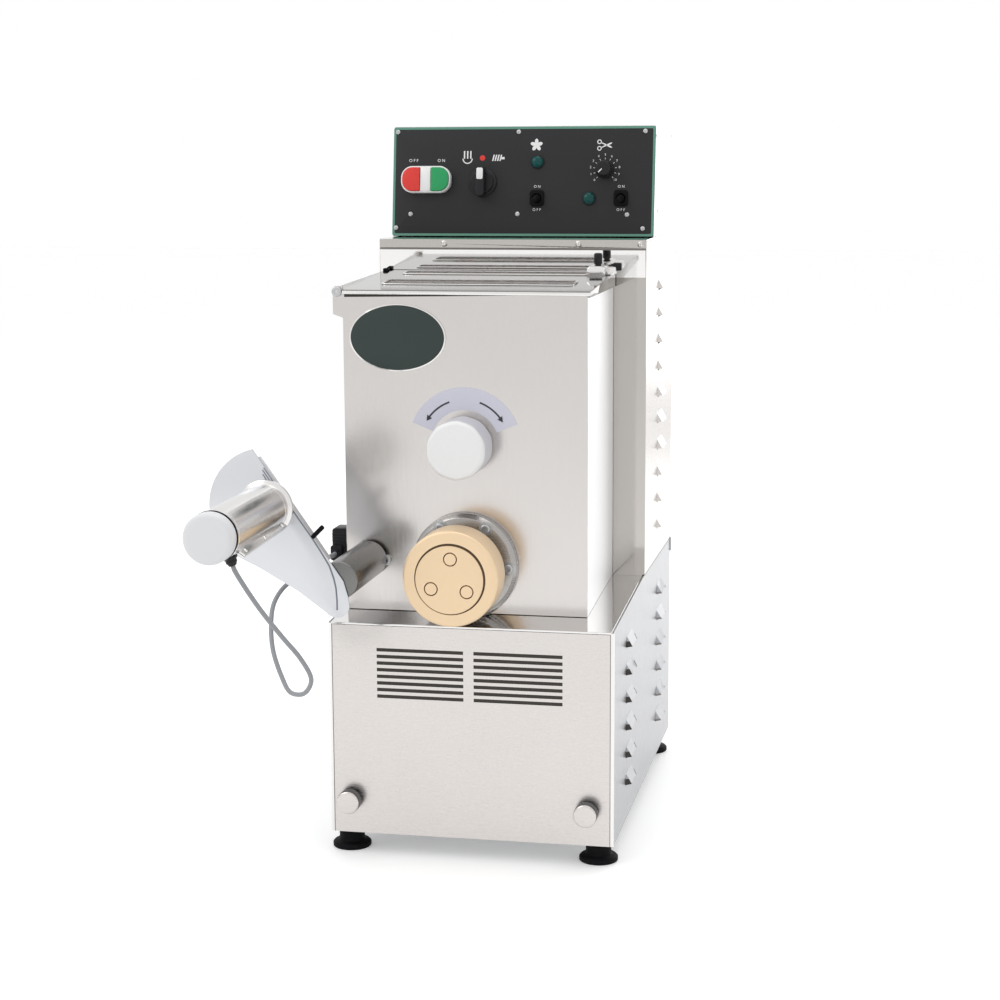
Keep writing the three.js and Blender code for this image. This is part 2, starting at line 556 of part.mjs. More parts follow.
function mixingTrough() {
  const [x, z] = MIX_AXIS;
  const outside = prism('y', troughOutline(TROUGH.radius + SHEET, TROUGH.topHalf + SHEET, TUB.top),
    [TROUGH.front - SHEET, TROUGH.back + SHEET]);
  const inside = prism('y', troughOutline(TROUGH.radius, TROUGH.topHalf, TUB.top + 20),
    [TROUGH.front, TROUGH.back]);
  const rim = block([TUB.left + SHEET + GAP, TUB.right - SHEET - GAP],
    [TUB.front + SHEET + GAP, TUB.back - SHEET - GAP], [TUB.top - 1.5, TUB.top]);
  const feed = block([x - FEED.half, x + FEED.half], [FEED.front, FEED.back], [z - 100, z - 80]);
  const boss = rod('y', MIX_AXIS, 12, [TUB.front + SHEET + GAP, TROUGH.front - 1], 16);
  return cut(join(outside, rim, boss), inside, feed, rod('y', MIX_AXIS, 6.5, [40, 70], 16),
    rod('y', MIX_AXIS, MIXER_SHAFT + 0.8, [200, 220], 16));
}

function gateKnob() {
  return turned('y', MIX_AXIS, [[0, 4], [26, 4], [28.5, 6.6], [28.5, 43.6], [27, 45.6], [6.2, 45.6],
    [6.2, 61.8], [0, 61.8]], 22);
}

// The gate: an arm in the front of the trough with a curved plate over the feed slot.
function gateShutter() {
  const outer = TROUGH.radius - 1.5;
  const inner = outer - 2;
  const fan = 15;
  const hub = circle(MIX_AXIS, 14, 18);
  const face = [TROUGH.front + 0.6, TROUGH.front + 2.8];
  const arm = [...arc(MIX_AXIS, outer, -90 - fan, -90 + fan, 5), ...arc(MIX_AXIS, 13, -50, -130, 3)];
  const plate = [...arc(MIX_AXIS, outer, -90 - fan, -90 + fan, 5),
    ...arc(MIX_AXIS, inner, -90 + fan, -90 - fan, 5)];
  return cut(join(prism('y', hub, [face[0], face[1] + 1]), prism('y', arm, face),
    prism('y', plate, [face[0], FEED.back + 4])), rod('y', MIX_AXIS, 6.5, [40, 80], 16));
}

function lid() {
  const { left, right, front, back, top, low, sheet } = LID;
  const slots = LID_SLOTS.middles.map((y) => roundedBox([LID_SLOTS.left, LID_SLOTS.right],
    [y - LID_SLOTS.width / 2, y + LID_SLOTS.width / 2], 3, 2));
  const plate = prism('z', rectangle([left, right], [front, back]), [top - sheet, top], slots);
  const frontLip = block([left, right], [front, front + sheet], [low, top - 0.5]);
  const rightLip = block([right - sheet, right], [front, back], [low, top - 0.5]);
  const reach = [TUB.front + SHEET + 1.2, TUB.back - 3.7];
  const roll = rod('y', LID_AXIS, 4.5, reach, 16);
  const web = prism('y', [[-141, 558.6], [-138, 561.2], [left + 1, top], [left + 1, top - sheet],
    [-136, 559.4], [-137, 558]], reach);
  const bracket = prism('y', [[86, top - 0.5], [104, top - 0.5], [104, top + 8], [101, top + 10],
    [89, top + 10]], [172, 204]);
  const magnet = block([103.5, 112.5], [180, 196], [top + 3.5, top + 12.5]);
  const buffer = block([left + 0.5, left + 7], [196, 205], [top - 0.5, top + 6]);
  return cut(join(plate, frontLip, rightLip, roll, web, bracket, magnet, buffer),
    rod('y', LID_AXIS, 3.5, [40, 230], 12));
}

const lidKnob = () => turned('z', [95, 187], [[0, LID.top + 10 + GAP], [3, LID.top + 10 + GAP],
  [3, LID.top + 12.5], [4.2, LID.top + 13.5], [4.2, LID.top + 23], [3.2, LID.top + 24.3],
  [0, LID.top + 24.3]], 10);

// Extruder

function augerBarrel() {
  const end = TOWER_Y - GAP;
  const body = turned('y', DIE_AXIS, [[BORE, -10.5], [THREAD_RADIUS, -10.5], [THREAD_RADIUS, 16],
    [NECK_RADIUS, 16], [NECK_RADIUS, FLANGE.front], [FLANGE.radius - 4, FLANGE.front],
    [FLANGE.radius, FLANGE.front + 4], [FLANGE.radius, TUB.front - GAP], [BARREL_RADIUS, TUB.front - GAP],
    [BARREL_RADIUS, end], [AUGER.shaft + 0.5, end], [AUGER.shaft + 0.5, 205], [BORE, 205],
    [BORE, -10.5]], 20);
  const bolts = arc(DIE_AXIS, FLANGE.pitchRadius, 0, 360, FLANGE.bolts).slice(1)
    .map((centre) => rod('y', centre, 5.6, [FLANGE.front - 4, FLANGE.front + 1], 6));
  const saddle = rod('y', MIX_AXIS, TROUGH.radius + SHEET + GAP, [TUB.front + SHEET, 240], 40);
  const feed = block([DIE_AXIS[0] - FEED.half, DIE_AXIS[0] + FEED.half], [FEED.front, FEED.back],
    [DIE_AXIS[1] + 10, DIE_AXIS[1] + 40]);
  const deck = prism('x', [[-30, 0], [TUB.front, 0], [TUB.front, deckZ(TUB.front) + GAP],
    [-30, deckZ(-30) + GAP]], [-100, 100]);
  return cut(join(body, ...bolts), saddle, feed, deck);
}

const ringNut = () => turned('y', DIE_AXIS, [[NUT.mouth, NUT.front], [NUT.radius - 1.5, NUT.front],
  [NUT.radius, NUT.front + 1.5], [NUT.radius, NUT.back - 1.5], [NUT.radius - 1.5, NUT.back],
  [THREAD_RADIUS + 0.6, NUT.back], [THREAD_RADIUS + 0.6, NUT.front + 2.7], [NUT.mouth, NUT.front + 2.7],
  [NUT.mouth, NUT.front]], 24);

// Each ring hole is a round groove about a core pin, fed from behind by three small holes.
function die() {
  const disc = turned('y', DIE_AXIS, [[0, -21.3], [NUT.mouth - 0.4, -21.3], [NUT.mouth - 0.4, -20],
    [THREAD_RADIUS, -20], [THREAD_RADIUS, -10.8], [0, -10.8]], 20);
  const tools = [];
  for (let i = 0; i < DIE.rings; i++) {
    const [centre] = arc(DIE_AXIS, DIE.ringRadius, DIE.firstAngle + 120 * i, 0, 1);
    tools.push(ring('y', centre, [DIE.inner, DIE.outer], [-25, -14.5], 10));
    for (const [x, z] of arc(centre, (DIE.inner + DIE.outer) / 2, 45, 405, 3).slice(1)) {
      tools.push(rod('y', [x, z], 1.9, [-15.5, -5], 6));
    }
  }
  return cut(disc, ...tools);
}

// Cutter, in its own frame: the pin is at the origin and the motor is at [ARM_RADIUS, 0].

const hingeSpindle = () => turned('y', ARM_AXIS, [[0, -41], [7, -41], [8, -40], [8, 43], [11, 43],
  [11.5, 44], [11.5, TUB.front - GAP], [0, TUB.front - GAP]]);

const armSleeve = () => turned('y', [0, 0], [[0, -67.7], [12, -67.7], [12, -46], [17, -46], [18, -45],
  [18, 41.7], [17, 42.7], [8.4, 42.7], [8.4, -42], [0, -42]], 16);

// The guard plate is round about the motor, straight along one side, and folded back there.
function cutterGuard() {
  const plate = prism('y', [...arc(MOTOR_AT, GUARD_RADIUS, -32.4, 104, 16), [60.4, 46.4], [19.8, 35.1],
    ...arc([-14, 17], 13, 85, 215, 5), [-17.4, 4], CHORD.pinEnd],
    [CUTTER.plateFront, CUTTER.plateFront + SHEET], [circle(MOTOR_AT, 8, 16)]);
  const along = new THREE.Vector2(...CHORD.motorEnd).sub(new THREE.Vector2(...CHORD.pinEnd)).normalize();
  const out = [along.y, -along.x];
  const point = (far, away, y) => [CHORD.pinEnd[0] + along.x * far + out[0] * away, y,
    CHORD.pinEnd[1] + along.y * far + out[1] * away];
  const [near, far] = [26, 138];
  const front = CUTTER.plateFront;
  const lip = hull([near, far].flatMap((f) => [point(f, -1.5, front), point(f, 0.4, front),
    point(f, 7, front + 11.5), point(f, 5.3, front + 12.5), point(f, -1.5, front + SHEET)]));
  const stud = new THREE.CylinderGeometry(2, 2, 15, 8).translate(0, 7.5, 0);
  stud.rotateZ(Math.PI).rotateX(Math.PI / 2).rotateY(-THREE.MathUtils.degToRad(20));
  stud.translate(...point(50, -1, CUTTER.plateFront + 1));
  return join(plate, lip, solid(stud));
}

// The motor tube has a foot ring, a clamp strip with three screws, and its gasket under the cap.
function cutterMotor() {
  const back = CUTTER.plateFront - GAP;
  const tube = turned('y', MOTOR_AT, [[0, CUTTER.motorFront], [21, CUTTER.motorFront],
    [21, CUTTER.motorFront + 2.5], [CUTTER.motor, CUTTER.motorFront + 3], [CUTTER.motor, back - 5],
    [26.5, back - 4], [26.5, back], [0, back]], 20);
  const strip = new THREE.BoxGeometry(3, 130, 11).translate(CUTTER.motor + 0.2, -148, 0);
  strip.rotateY(THREE.MathUtils.degToRad(-74)).translate(MOTOR_AT[0], 0, MOTOR_AT[1]);
  const screws = [-206, -148, -90].map((y) => {
    const screw = new THREE.CylinderGeometry(2.6, 2.6, 3, 8);
    screw.rotateZ(Math.PI / 2).translate(CUTTER.motor + 2.6, y, 0);
    return solid(screw.rotateY(THREE.MathUtils.degToRad(-74)).translate(MOTOR_AT[0], 0, MOTOR_AT[1]));
  });
  return join(tube, solid(strip), ...screws);
}

const cutterCap = () => turned('y', MOTOR_AT, [[0, CUTTER.capFront], [19.5, CUTTER.capFront],
  [22, CUTTER.capFront + 1], [CUTTER.cap, CUTTER.capFront + 3.5], [CUTTER.cap, CUTTER.motorFront - GAP],
  [0, CUTTER.motorFront - GAP]], 20);

function cutterKnife() {
  const back = KNIFE.back;
  const hub = turned('y', MOTOR_AT, [[0, -69.8], [5, -69.8], [5, -46], [7.5, -44], [7.5, back], [0, back]]);
  const tip = KNIFE.radius;
  const blade = [[-tip, -2], [-6, -5.5], [6, -5.5], [tip, -2], [tip, 2], [6, 5.5], [-6, 5.5], [-tip, 2]];
  const placed = blade.map(([x, z]) => [x + MOTOR_AT[0], z + MOTOR_AT[1]]);
  return join(hub, prism('y', placed, [KNIFE.front, back]));
}

// Gland, cord, plug and socket, in the machine's frame

const motorCentre = () => {
  const angle = THREE.MathUtils.degToRad(ARM_ANGLE);
  return [ARM_AXIS[0] + ARM_RADIUS * Math.cos(angle), ARM_AXIS[1] + ARM_RADIUS * Math.sin(angle)];
};

function cutterGland() {
  const [x, z] = motorCentre();
  const profile = [[0, 20], [6.5, 20], [6.5, 24.5], [5.2, 25.5], [5.2, 28], [3.4, GLAND_REACH],
    [0, GLAND_REACH]];
  const body = new THREE.LatheGeometry(profile.map(([r, y]) => new THREE.Vector2(r, y)), 12);
  const [dx, dz] = GLAND_DIRECTION;
  body.rotateZ(-Math.PI / 2).rotateY(-Math.atan2(dz, dx)).translate(x, GLAND_Y, z);
  return cut(solid(body), rod('y', [x, z], CUTTER.motor + GAP, [GLAND_Y - 20, GLAND_Y + 20], 64));
}

function cutterCord() {
  const [x, z] = motorCentre();
  const [dx, dz] = GLAND_DIRECTION;
  const away = (reach) => [x + dx * reach, GLAND_Y, z + dz * reach];
  const route = [away(GLAND_REACH + GAP), away(GLAND_REACH + 4), ...CORD_ROUTE,
    [PLUG.x, PLUG.front - 6, PLUG.z], [PLUG.x, PLUG.front - GAP, PLUG.z]];
  const path = new THREE.CatmullRomCurve3(route.map((p) => new THREE.Vector3(...p)), false, 'centripetal');
  const section = outlineShape(circle([0, 0], CORD_RADIUS, CORD_SIDES));
  return solid(new THREE.ExtrudeGeometry(section, { steps: CORD_STEPS, extrudePath: path }));
}

const cordPlug = () => join(
  turned('y', [PLUG.x, PLUG.z], [[0, PLUG.front], [3.4, PLUG.front], [4.6, PLUG.front + 4],
    [0, PLUG.front + 4.5]], 12),
  block([PLUG.x - 5.5, PLUG.x + 5.5], [PLUG.front + 3.5, 51.7], [PLUG.z - 7.5, PLUG.z + 7.5]));

const cableSocket = () => prism('y', roundedBox([-149.5, TUB.left - GAP], [287, 321.5], 3, 2), [52, 74]);

// Controls on the panel. The panel's own frame has its lower edge at Z 0 and its face at Y 0.

function controlPanel() {
  const holes = [circle([BUTTONS.lamp, BUTTONS.z], 11.3, 16), circle(SELECTOR, 8.6), circle(SPEED, 3.4, 8),
    ...[...LAMPS, ...TOGGLES].map(({ at }) => circle(at, 5.7, 8))];
  const plate = prism('y', roundedBox([-HALF_WIDTH, HALF_WIDTH], [0.6, PANEL_HEIGHT - GAP], 2),
    [0, SHEET], holes);
  const bezel = ring('y', SELECTOR, [8.6, 15], [-4, 0.5]);
  const bushes = TOGGLES.map(({ at }) => ring('y', at, [5.2, 9.4], [-3, 0.5], 8));
  return join(plate, bezel, ...bushes);
}

// The outline of a push button, or of its pocket a little larger.
const buttonOutline = (x, more = 0) => roundedBox([x - BUTTONS.half[0] - more, x + BUTTONS.half[0] + more],
  [BUTTONS.z - BUTTONS.half[1] - more, BUTTONS.z + BUTTONS.half[1] + more], BUTTONS.round + more);

function buttonBezel() {
  const head = prism('y', roundedBox([BUTTONS.stop - 11.5, BUTTONS.start + 11.9], [45.4, 73.4], 12, 4),
    [-9, -GAP]);
  const pockets = [BUTTONS.stop, BUTTONS.start].map((x) => prism('y', buttonOutline(x, GAP), [-12, -1.3]));
  const lens = block([BUTTONS.lamp - 5, BUTTONS.lamp + 5], [-10, -8], [BUTTONS.z - 11, BUTTONS.z + 11]);
  const collar = rod('y', [BUTTONS.lamp, BUTTONS.z], 10.9, [-0.6, 28], 20);
  return join(cut(head, ...pockets), lens, collar);
}

const pushButton = (x) => prism('y', buttonOutline(x), [-11.5, -5]);

function selectorKnob() {
  const [x, z] = SELECTOR;
  const handle = prism('y', roundedBox([x - 4.8, x + 4.8], [z - 16, z + 15], 3.5, 2), [-17.5, -4.3]);
  return join(handle, rod('y', SELECTOR, 12.5, [-7, -4.3]), rod('y', SELECTOR, 8.2, [-5, 14]));
}

const speedKnob = () => turned('y', SPEED, [[0, -16], [7, -16], [8, -15], [8.4, -5], [9.5, -4],
  [9.5, -0.8], [3, -0.8], [3, 12], [0, 12]]);

const pilotLamp = (at) => turned('y', at, [[0, -5.2], [2.8, -4.8], [5, -3.4], [5.4, -2.6], [6.9, -2.4],
  [6.9, -GAP], [5, -GAP], [5, 20], [0, 20]], 10);

// A toggle lever in its boot about its pivot, pointing to the front before it is tilted
function toggleLever() {
  const ball = solid(new THREE.SphereGeometry(4.3, 8, 6));
  return join(ball, turned('y', [0, 0], [[0, -17], [2, -17], [2.9, -16], [2.9, -13], [2, -2], [0, -2]], 8));
}

// Assembly

const machine = new THREE.Group();

function addCasing() {
  machine.add(
    piece('base_tray', baseTray(), 'steel'), piece('front_panel', frontPanel(), 'brushed'),
    piece('side_panel_left', sidePanel(-1), 'brushed'), piece('side_panel_right', sidePanel(1), 'brushed'),
    piece('base_deck', baseDeck(), 'polished'), piece('back_panel', backPanel(), 'brushed'),
    piece('tower_front', towerFront(), 'polished'), piece('upper_side_left', upperSide(-1), 'brushed'),
    piece('upper_side_right', upperSide(1), 'brushed'), piece('tower_top', towerTop(), 'brushed'),
    piece('control_box', controlBox(), 'brushed'));
  FEET.forEach(([x, y], i) => {
    const corner = ['front_left', 'front_right', 'rear_left', 'rear_right'][i];
    const rubber = piece(`foot_${corner}`, foot(), 'rubber');
    rubber.position.set(x, y, 0);
    machine.add(rubber);
  });
  for (const { name, x } of THUMB_KNOBS) {
    const knob = piece(name, thumbKnob(), 'bright');
    knob.position.set(x, 0, THUMB_Z);
    machine.add(knob);
  }
}

function addDrive() {
  machine.add(
    piece('gearbox', gearbox(), 'grey'), piece('drive_motor', driveMotor(), 'grey'),
    piece('drive_belt', driveBelt(), 'rubber'),
    piece('motor_pulley', pulley(MOTOR_AXIS, PULLEY.motor, 8, 343), 'steel'),
    piece('gearbox_pulley', pulley(GEARBOX_AXIS, PULLEY.gearbox, 10, 335), 'steel'),
    piece('auger_gear', augerGear(), 'steel'), piece('mixer_gear', mixerGear(), 'steel'),
    piece('blower_housing', blowerHousing(), 'steel'), piece('blower_wheel', blowerWheel(), 'black'),
    piece('control_board', controlBoard(), 'board'), piece('mains_inlet', mainsInlet(), 'black'));
}

function addTub() {
  machine.add(
    piece('tub_jacket', tubJacket(), 'polished'), piece('tub_front', tubFront(), 'polished'),
    piece('mixing_trough', mixingTrough(), 'brushed'), piece('mixer_shaft', mixerShaft(), 'bright'),
    piece('gate_knob', gateKnob(), 'white'), piece('gate_shutter', gateShutter(), 'brushed'),
    piece('lid', lid(), 'polished'), piece('lid_knob', lidKnob(), 'black'));
}

function addExtruder() {
  machine.add(
    piece('auger_barrel', augerBarrel(), 'bright'), piece('auger_screw', augerScrew(), 'bright'),
    piece('die', die(), 'bronze'), piece('ring_nut', ringNut(), 'bronze'));
}

function addCutter() {
  const arm = new THREE.Group();
  arm.position.set(ARM_AXIS[0], 0, ARM_AXIS[1]);
  arm.rotation.y = -THREE.MathUtils.degToRad(ARM_ANGLE);
  arm.add(
    piece('arm_sleeve', armSleeve(), 'grey'), piece('cutter_guard', cutterGuard(), 'polished'),
    piece('cutter_motor', cutterMotor(), 'bright'), piece('cutter_cap', cutterCap(), 'white'),
    piece('cutter_knife', cutterKnife(), 'steel'));
  machine.add(arm,
    piece('hinge_spindle', hingeSpindle(), 'bright'), piece('cutter_gland', cutterGland(), 'black'),
    piece('cutter_cord', cutterCord(), 'cord'), piece('cord_plug', cordPlug(), 'black'),
    piece('cable_socket', cableSocket(), 'black'));
}

function addControls() {
  const face = new THREE.Group();
  face.position.set(0, PANEL_FOOT.y, PANEL_FOOT.z);
  face.rotation.x = -THREE.MathUtils.degToRad(PANEL_LEAN);
  face.add(
    piece('control_panel', controlPanel(), 'panel'), piece('button_bezel', buttonBezel(), 'bright'),
    piece('stop_button', pushButton(BUTTONS.stop), 'red'),
    piece('start_button', pushButton(BUTTONS.start), 'green'),
    piece('selector_knob', selectorKnob(), 'black'), piece('speed_knob', speedKnob(), 'black'));
  for (const { name, at } of LAMPS) face.add(piece(name, pilotLamp(at), 'teal'));
  for (const { name, at } of TOGGLES) {
    const lever = piece(name, toggleLever(), 'rubber');
    lever.position.set(at[0], -1.5, at[1]);
    lever.rotation.x = THREE.MathUtils.degToRad(TOGGLE_TILT);
    face.add(lever);
  }
  machine.add(face);
}

addCasing();
addDrive();
addTub();
addExtruder();
addCutter();
addControls();

// The origin is under the middle of the machine: its box is taken without the cord and plug.
const CORD_PIECES = ['cutter_cord', 'cord_plug'];
machine.updateMatrixWorld(true);
const bounds = new THREE.Box3();
machine.traverse((node) => {
  if (!node.isMesh || CORD_PIECES.includes(node.name)) return;
  bounds.union(new THREE.Box3().setFromObject(node, true));
});
const middle = bounds.getCenter(new THREE.Vector3());
machine.position.set(-middle.x, -middle.y, -bounds.min.z);

const pastaMaker = new THREE.Group();
pastaMaker.add(machine);

export default pastaMaker;
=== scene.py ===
# %% [markdown]
# # A bench pasta maker in stainless steel
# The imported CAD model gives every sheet, shaft and screw its exact place. This file dresses it:
# it gives each CAD node a finish and rebuilds the round, bent and printed pieces with finer shapes.
# All sizes below are in millimetres, in the machine's own frame: X points right, Y points back,
# Z points up, and zero is at the middle of the base's front edge. One matrix takes them to metres.

# %% Load the frame
import json
import math

import bmesh
import bpy
from mathutils import Matrix, Vector


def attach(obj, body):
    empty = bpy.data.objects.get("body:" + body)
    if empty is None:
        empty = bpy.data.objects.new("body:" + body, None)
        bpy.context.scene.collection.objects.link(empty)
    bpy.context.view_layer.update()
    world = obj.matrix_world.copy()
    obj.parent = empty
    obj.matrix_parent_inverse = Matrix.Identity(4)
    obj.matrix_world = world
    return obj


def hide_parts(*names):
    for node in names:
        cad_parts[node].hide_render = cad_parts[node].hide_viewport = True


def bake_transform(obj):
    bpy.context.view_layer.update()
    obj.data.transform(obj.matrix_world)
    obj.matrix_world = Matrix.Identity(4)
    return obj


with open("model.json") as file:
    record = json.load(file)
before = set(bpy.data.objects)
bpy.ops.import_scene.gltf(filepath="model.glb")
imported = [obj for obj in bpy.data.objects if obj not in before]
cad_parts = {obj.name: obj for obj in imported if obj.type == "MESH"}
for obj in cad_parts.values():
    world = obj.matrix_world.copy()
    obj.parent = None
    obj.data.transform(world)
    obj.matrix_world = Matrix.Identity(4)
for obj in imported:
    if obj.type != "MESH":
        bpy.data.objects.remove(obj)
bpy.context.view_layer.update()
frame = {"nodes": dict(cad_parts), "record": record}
nodes = frame["nodes"]

MACHINE_ORIGIN = (0.0439989, -0.10095, -0.0065)
PANEL_FOOT, PANEL_LEAN = (0, 271.4, 598.7), 7.65
ARM_PIVOT, ARM_TURN, MOTOR_REACH = (-109.5, 294), 135.1, 96

MACHINE = Matrix.Translation(MACHINE_ORIGIN) @ Matrix.Scale(0.001, 4)
PANEL = MACHINE @ Matrix.Translation(PANEL_FOOT) @ Matrix.Rotation(math.radians(-PANEL_LEAN), 4, "X")
ARM = MACHINE @ Matrix.Translation((ARM_PIVOT[0], 0, ARM_PIVOT[1])) @ Matrix.Rotation(
    math.radians(-ARM_TURN), 4, "Y")


def at(*point):
    """A point in the machine's frame, in metres in the row frame."""
    return MACHINE @ Vector(point)


# %% [markdown]
# ## The camera
# The photograph was taken from the front, a little above the tub and from the machine's right.
# Its place and its long lens were solved from the straight edges of the casing.

# %% Camera
CAMERA_PLACE, CAMERA_LENS = (424.16, -1948.15, 693.97), 76.764
CAMERA_PAN, CAMERA_TILT, CAMERA_ROLL = 11.42, 9.45, -0.29
camera_data = bpy.data.cameras.new("camera")
camera_data.lens = CAMERA_LENS
camera = bpy.data.objects.new("camera", camera_data)
bpy.context.scene.collection.objects.link(camera)
bpy.context.scene.camera = camera
pan = Matrix.Rotation(math.radians(CAMERA_PAN), 4, "Z")
tilt = Matrix.Rotation(math.radians(90 - CAMERA_TILT), 4, "X")
roll = Matrix.Rotation(math.radians(CAMERA_ROLL), 4, "Z")
camera.matrix_world = Matrix.Translation(at(*CAMERA_PLACE)) @ (pan @ tilt) @ roll
print("camera at", [round(v, 3) for v in camera.location])

# %% [markdown]
# ## Finishes
# A finish is a small node network. A stretched noise gives the grain of brushed or turned metal, through
# the roughness and a shallow bump, and a broad soft noise gives the colour its uneven tone.
# They read the Object coordinates, so the grain stays on the piece from every side.


# %% One recipe for all finishes
def finish(name, colour, metallic, roughness, grain, spread, tone, depth, coat=0.0, gloss=0.5):
    """Makes a material; spread is how far its roughness varies and depth is the bump's, in millimetres."""
    material = bpy.data.materials.new(name)
    material.use_nodes = True
    tree = material.node_tree
    shader = tree.nodes["Principled BSDF"]
    shader.inputs["Metallic"].default_value = metallic
    shader.inputs["Coat Weight"].default_value = coat
    shader.inputs["Coat Roughness"].default_value = 0.12
    shader.inputs["Specular IOR Level"].default_value = gloss
    place = tree.nodes.new("ShaderNodeTexCoord")
    stretch = tree.nodes.new("ShaderNodeMapping")
    stretch.inputs["Scale"].default_value = grain
    fine = tree.nodes.new("ShaderNodeTexNoise")
    fine.inputs["Scale"].default_value = 1.0
    fine.inputs["Detail"].default_value = 5.0
    broad = tree.nodes.new("ShaderNodeTexNoise")
    broad.inputs["Scale"].default_value = 14.0
    broad.inputs["Detail"].default_value = 3.0
    tree.links.new(place.outputs["Object"], stretch.inputs["Vector"])
    tree.links.new(stretch.outputs["Vector"], fine.inputs["Vector"])
    tree.links.new(place.outputs["Object"], broad.inputs["Vector"])
    rough = tree.nodes.new("ShaderNodeMapRange")
    rough.inputs["From Min"].default_value = 0.3
    rough.inputs["From Max"].default_value = 0.7
    rough.inputs["To Min"].default_value = max(0.02, roughness - spread)
    rough.inputs["To Max"].default_value = min(1.0, roughness + spread)
    tree.links.new(fine.outputs["Fac"], rough.inputs["Value"])
    tree.links.new(rough.outputs["Result"], shader.inputs["Roughness"])
    shade = tree.nodes.new("ShaderNodeMix")
    shade.data_type = "RGBA"
    shade.inputs["A"].default_value = (*[c * (1 - tone) for c in colour], 1)
    shade.inputs["B"].default_value = (*[min(1.0, c * (1 + tone)) for c in colour], 1)
    tree.links.new(broad.outputs["Fac"], shade.inputs["Factor"])
    tree.links.new(shade.outputs["Result"], shader.inputs["Base Color"])
    bump = tree.nodes.new("ShaderNodeBump")
    bump.inputs["Strength"].default_value = 0.5
    bump.inputs["Distance"].default_value = depth * 0.001
    tree.links.new(fine.outputs["Fac"], bump.inputs["Height"])
    tree.links.new(bump.outputs["Normal"], shader.inputs["Normal"])
    return material
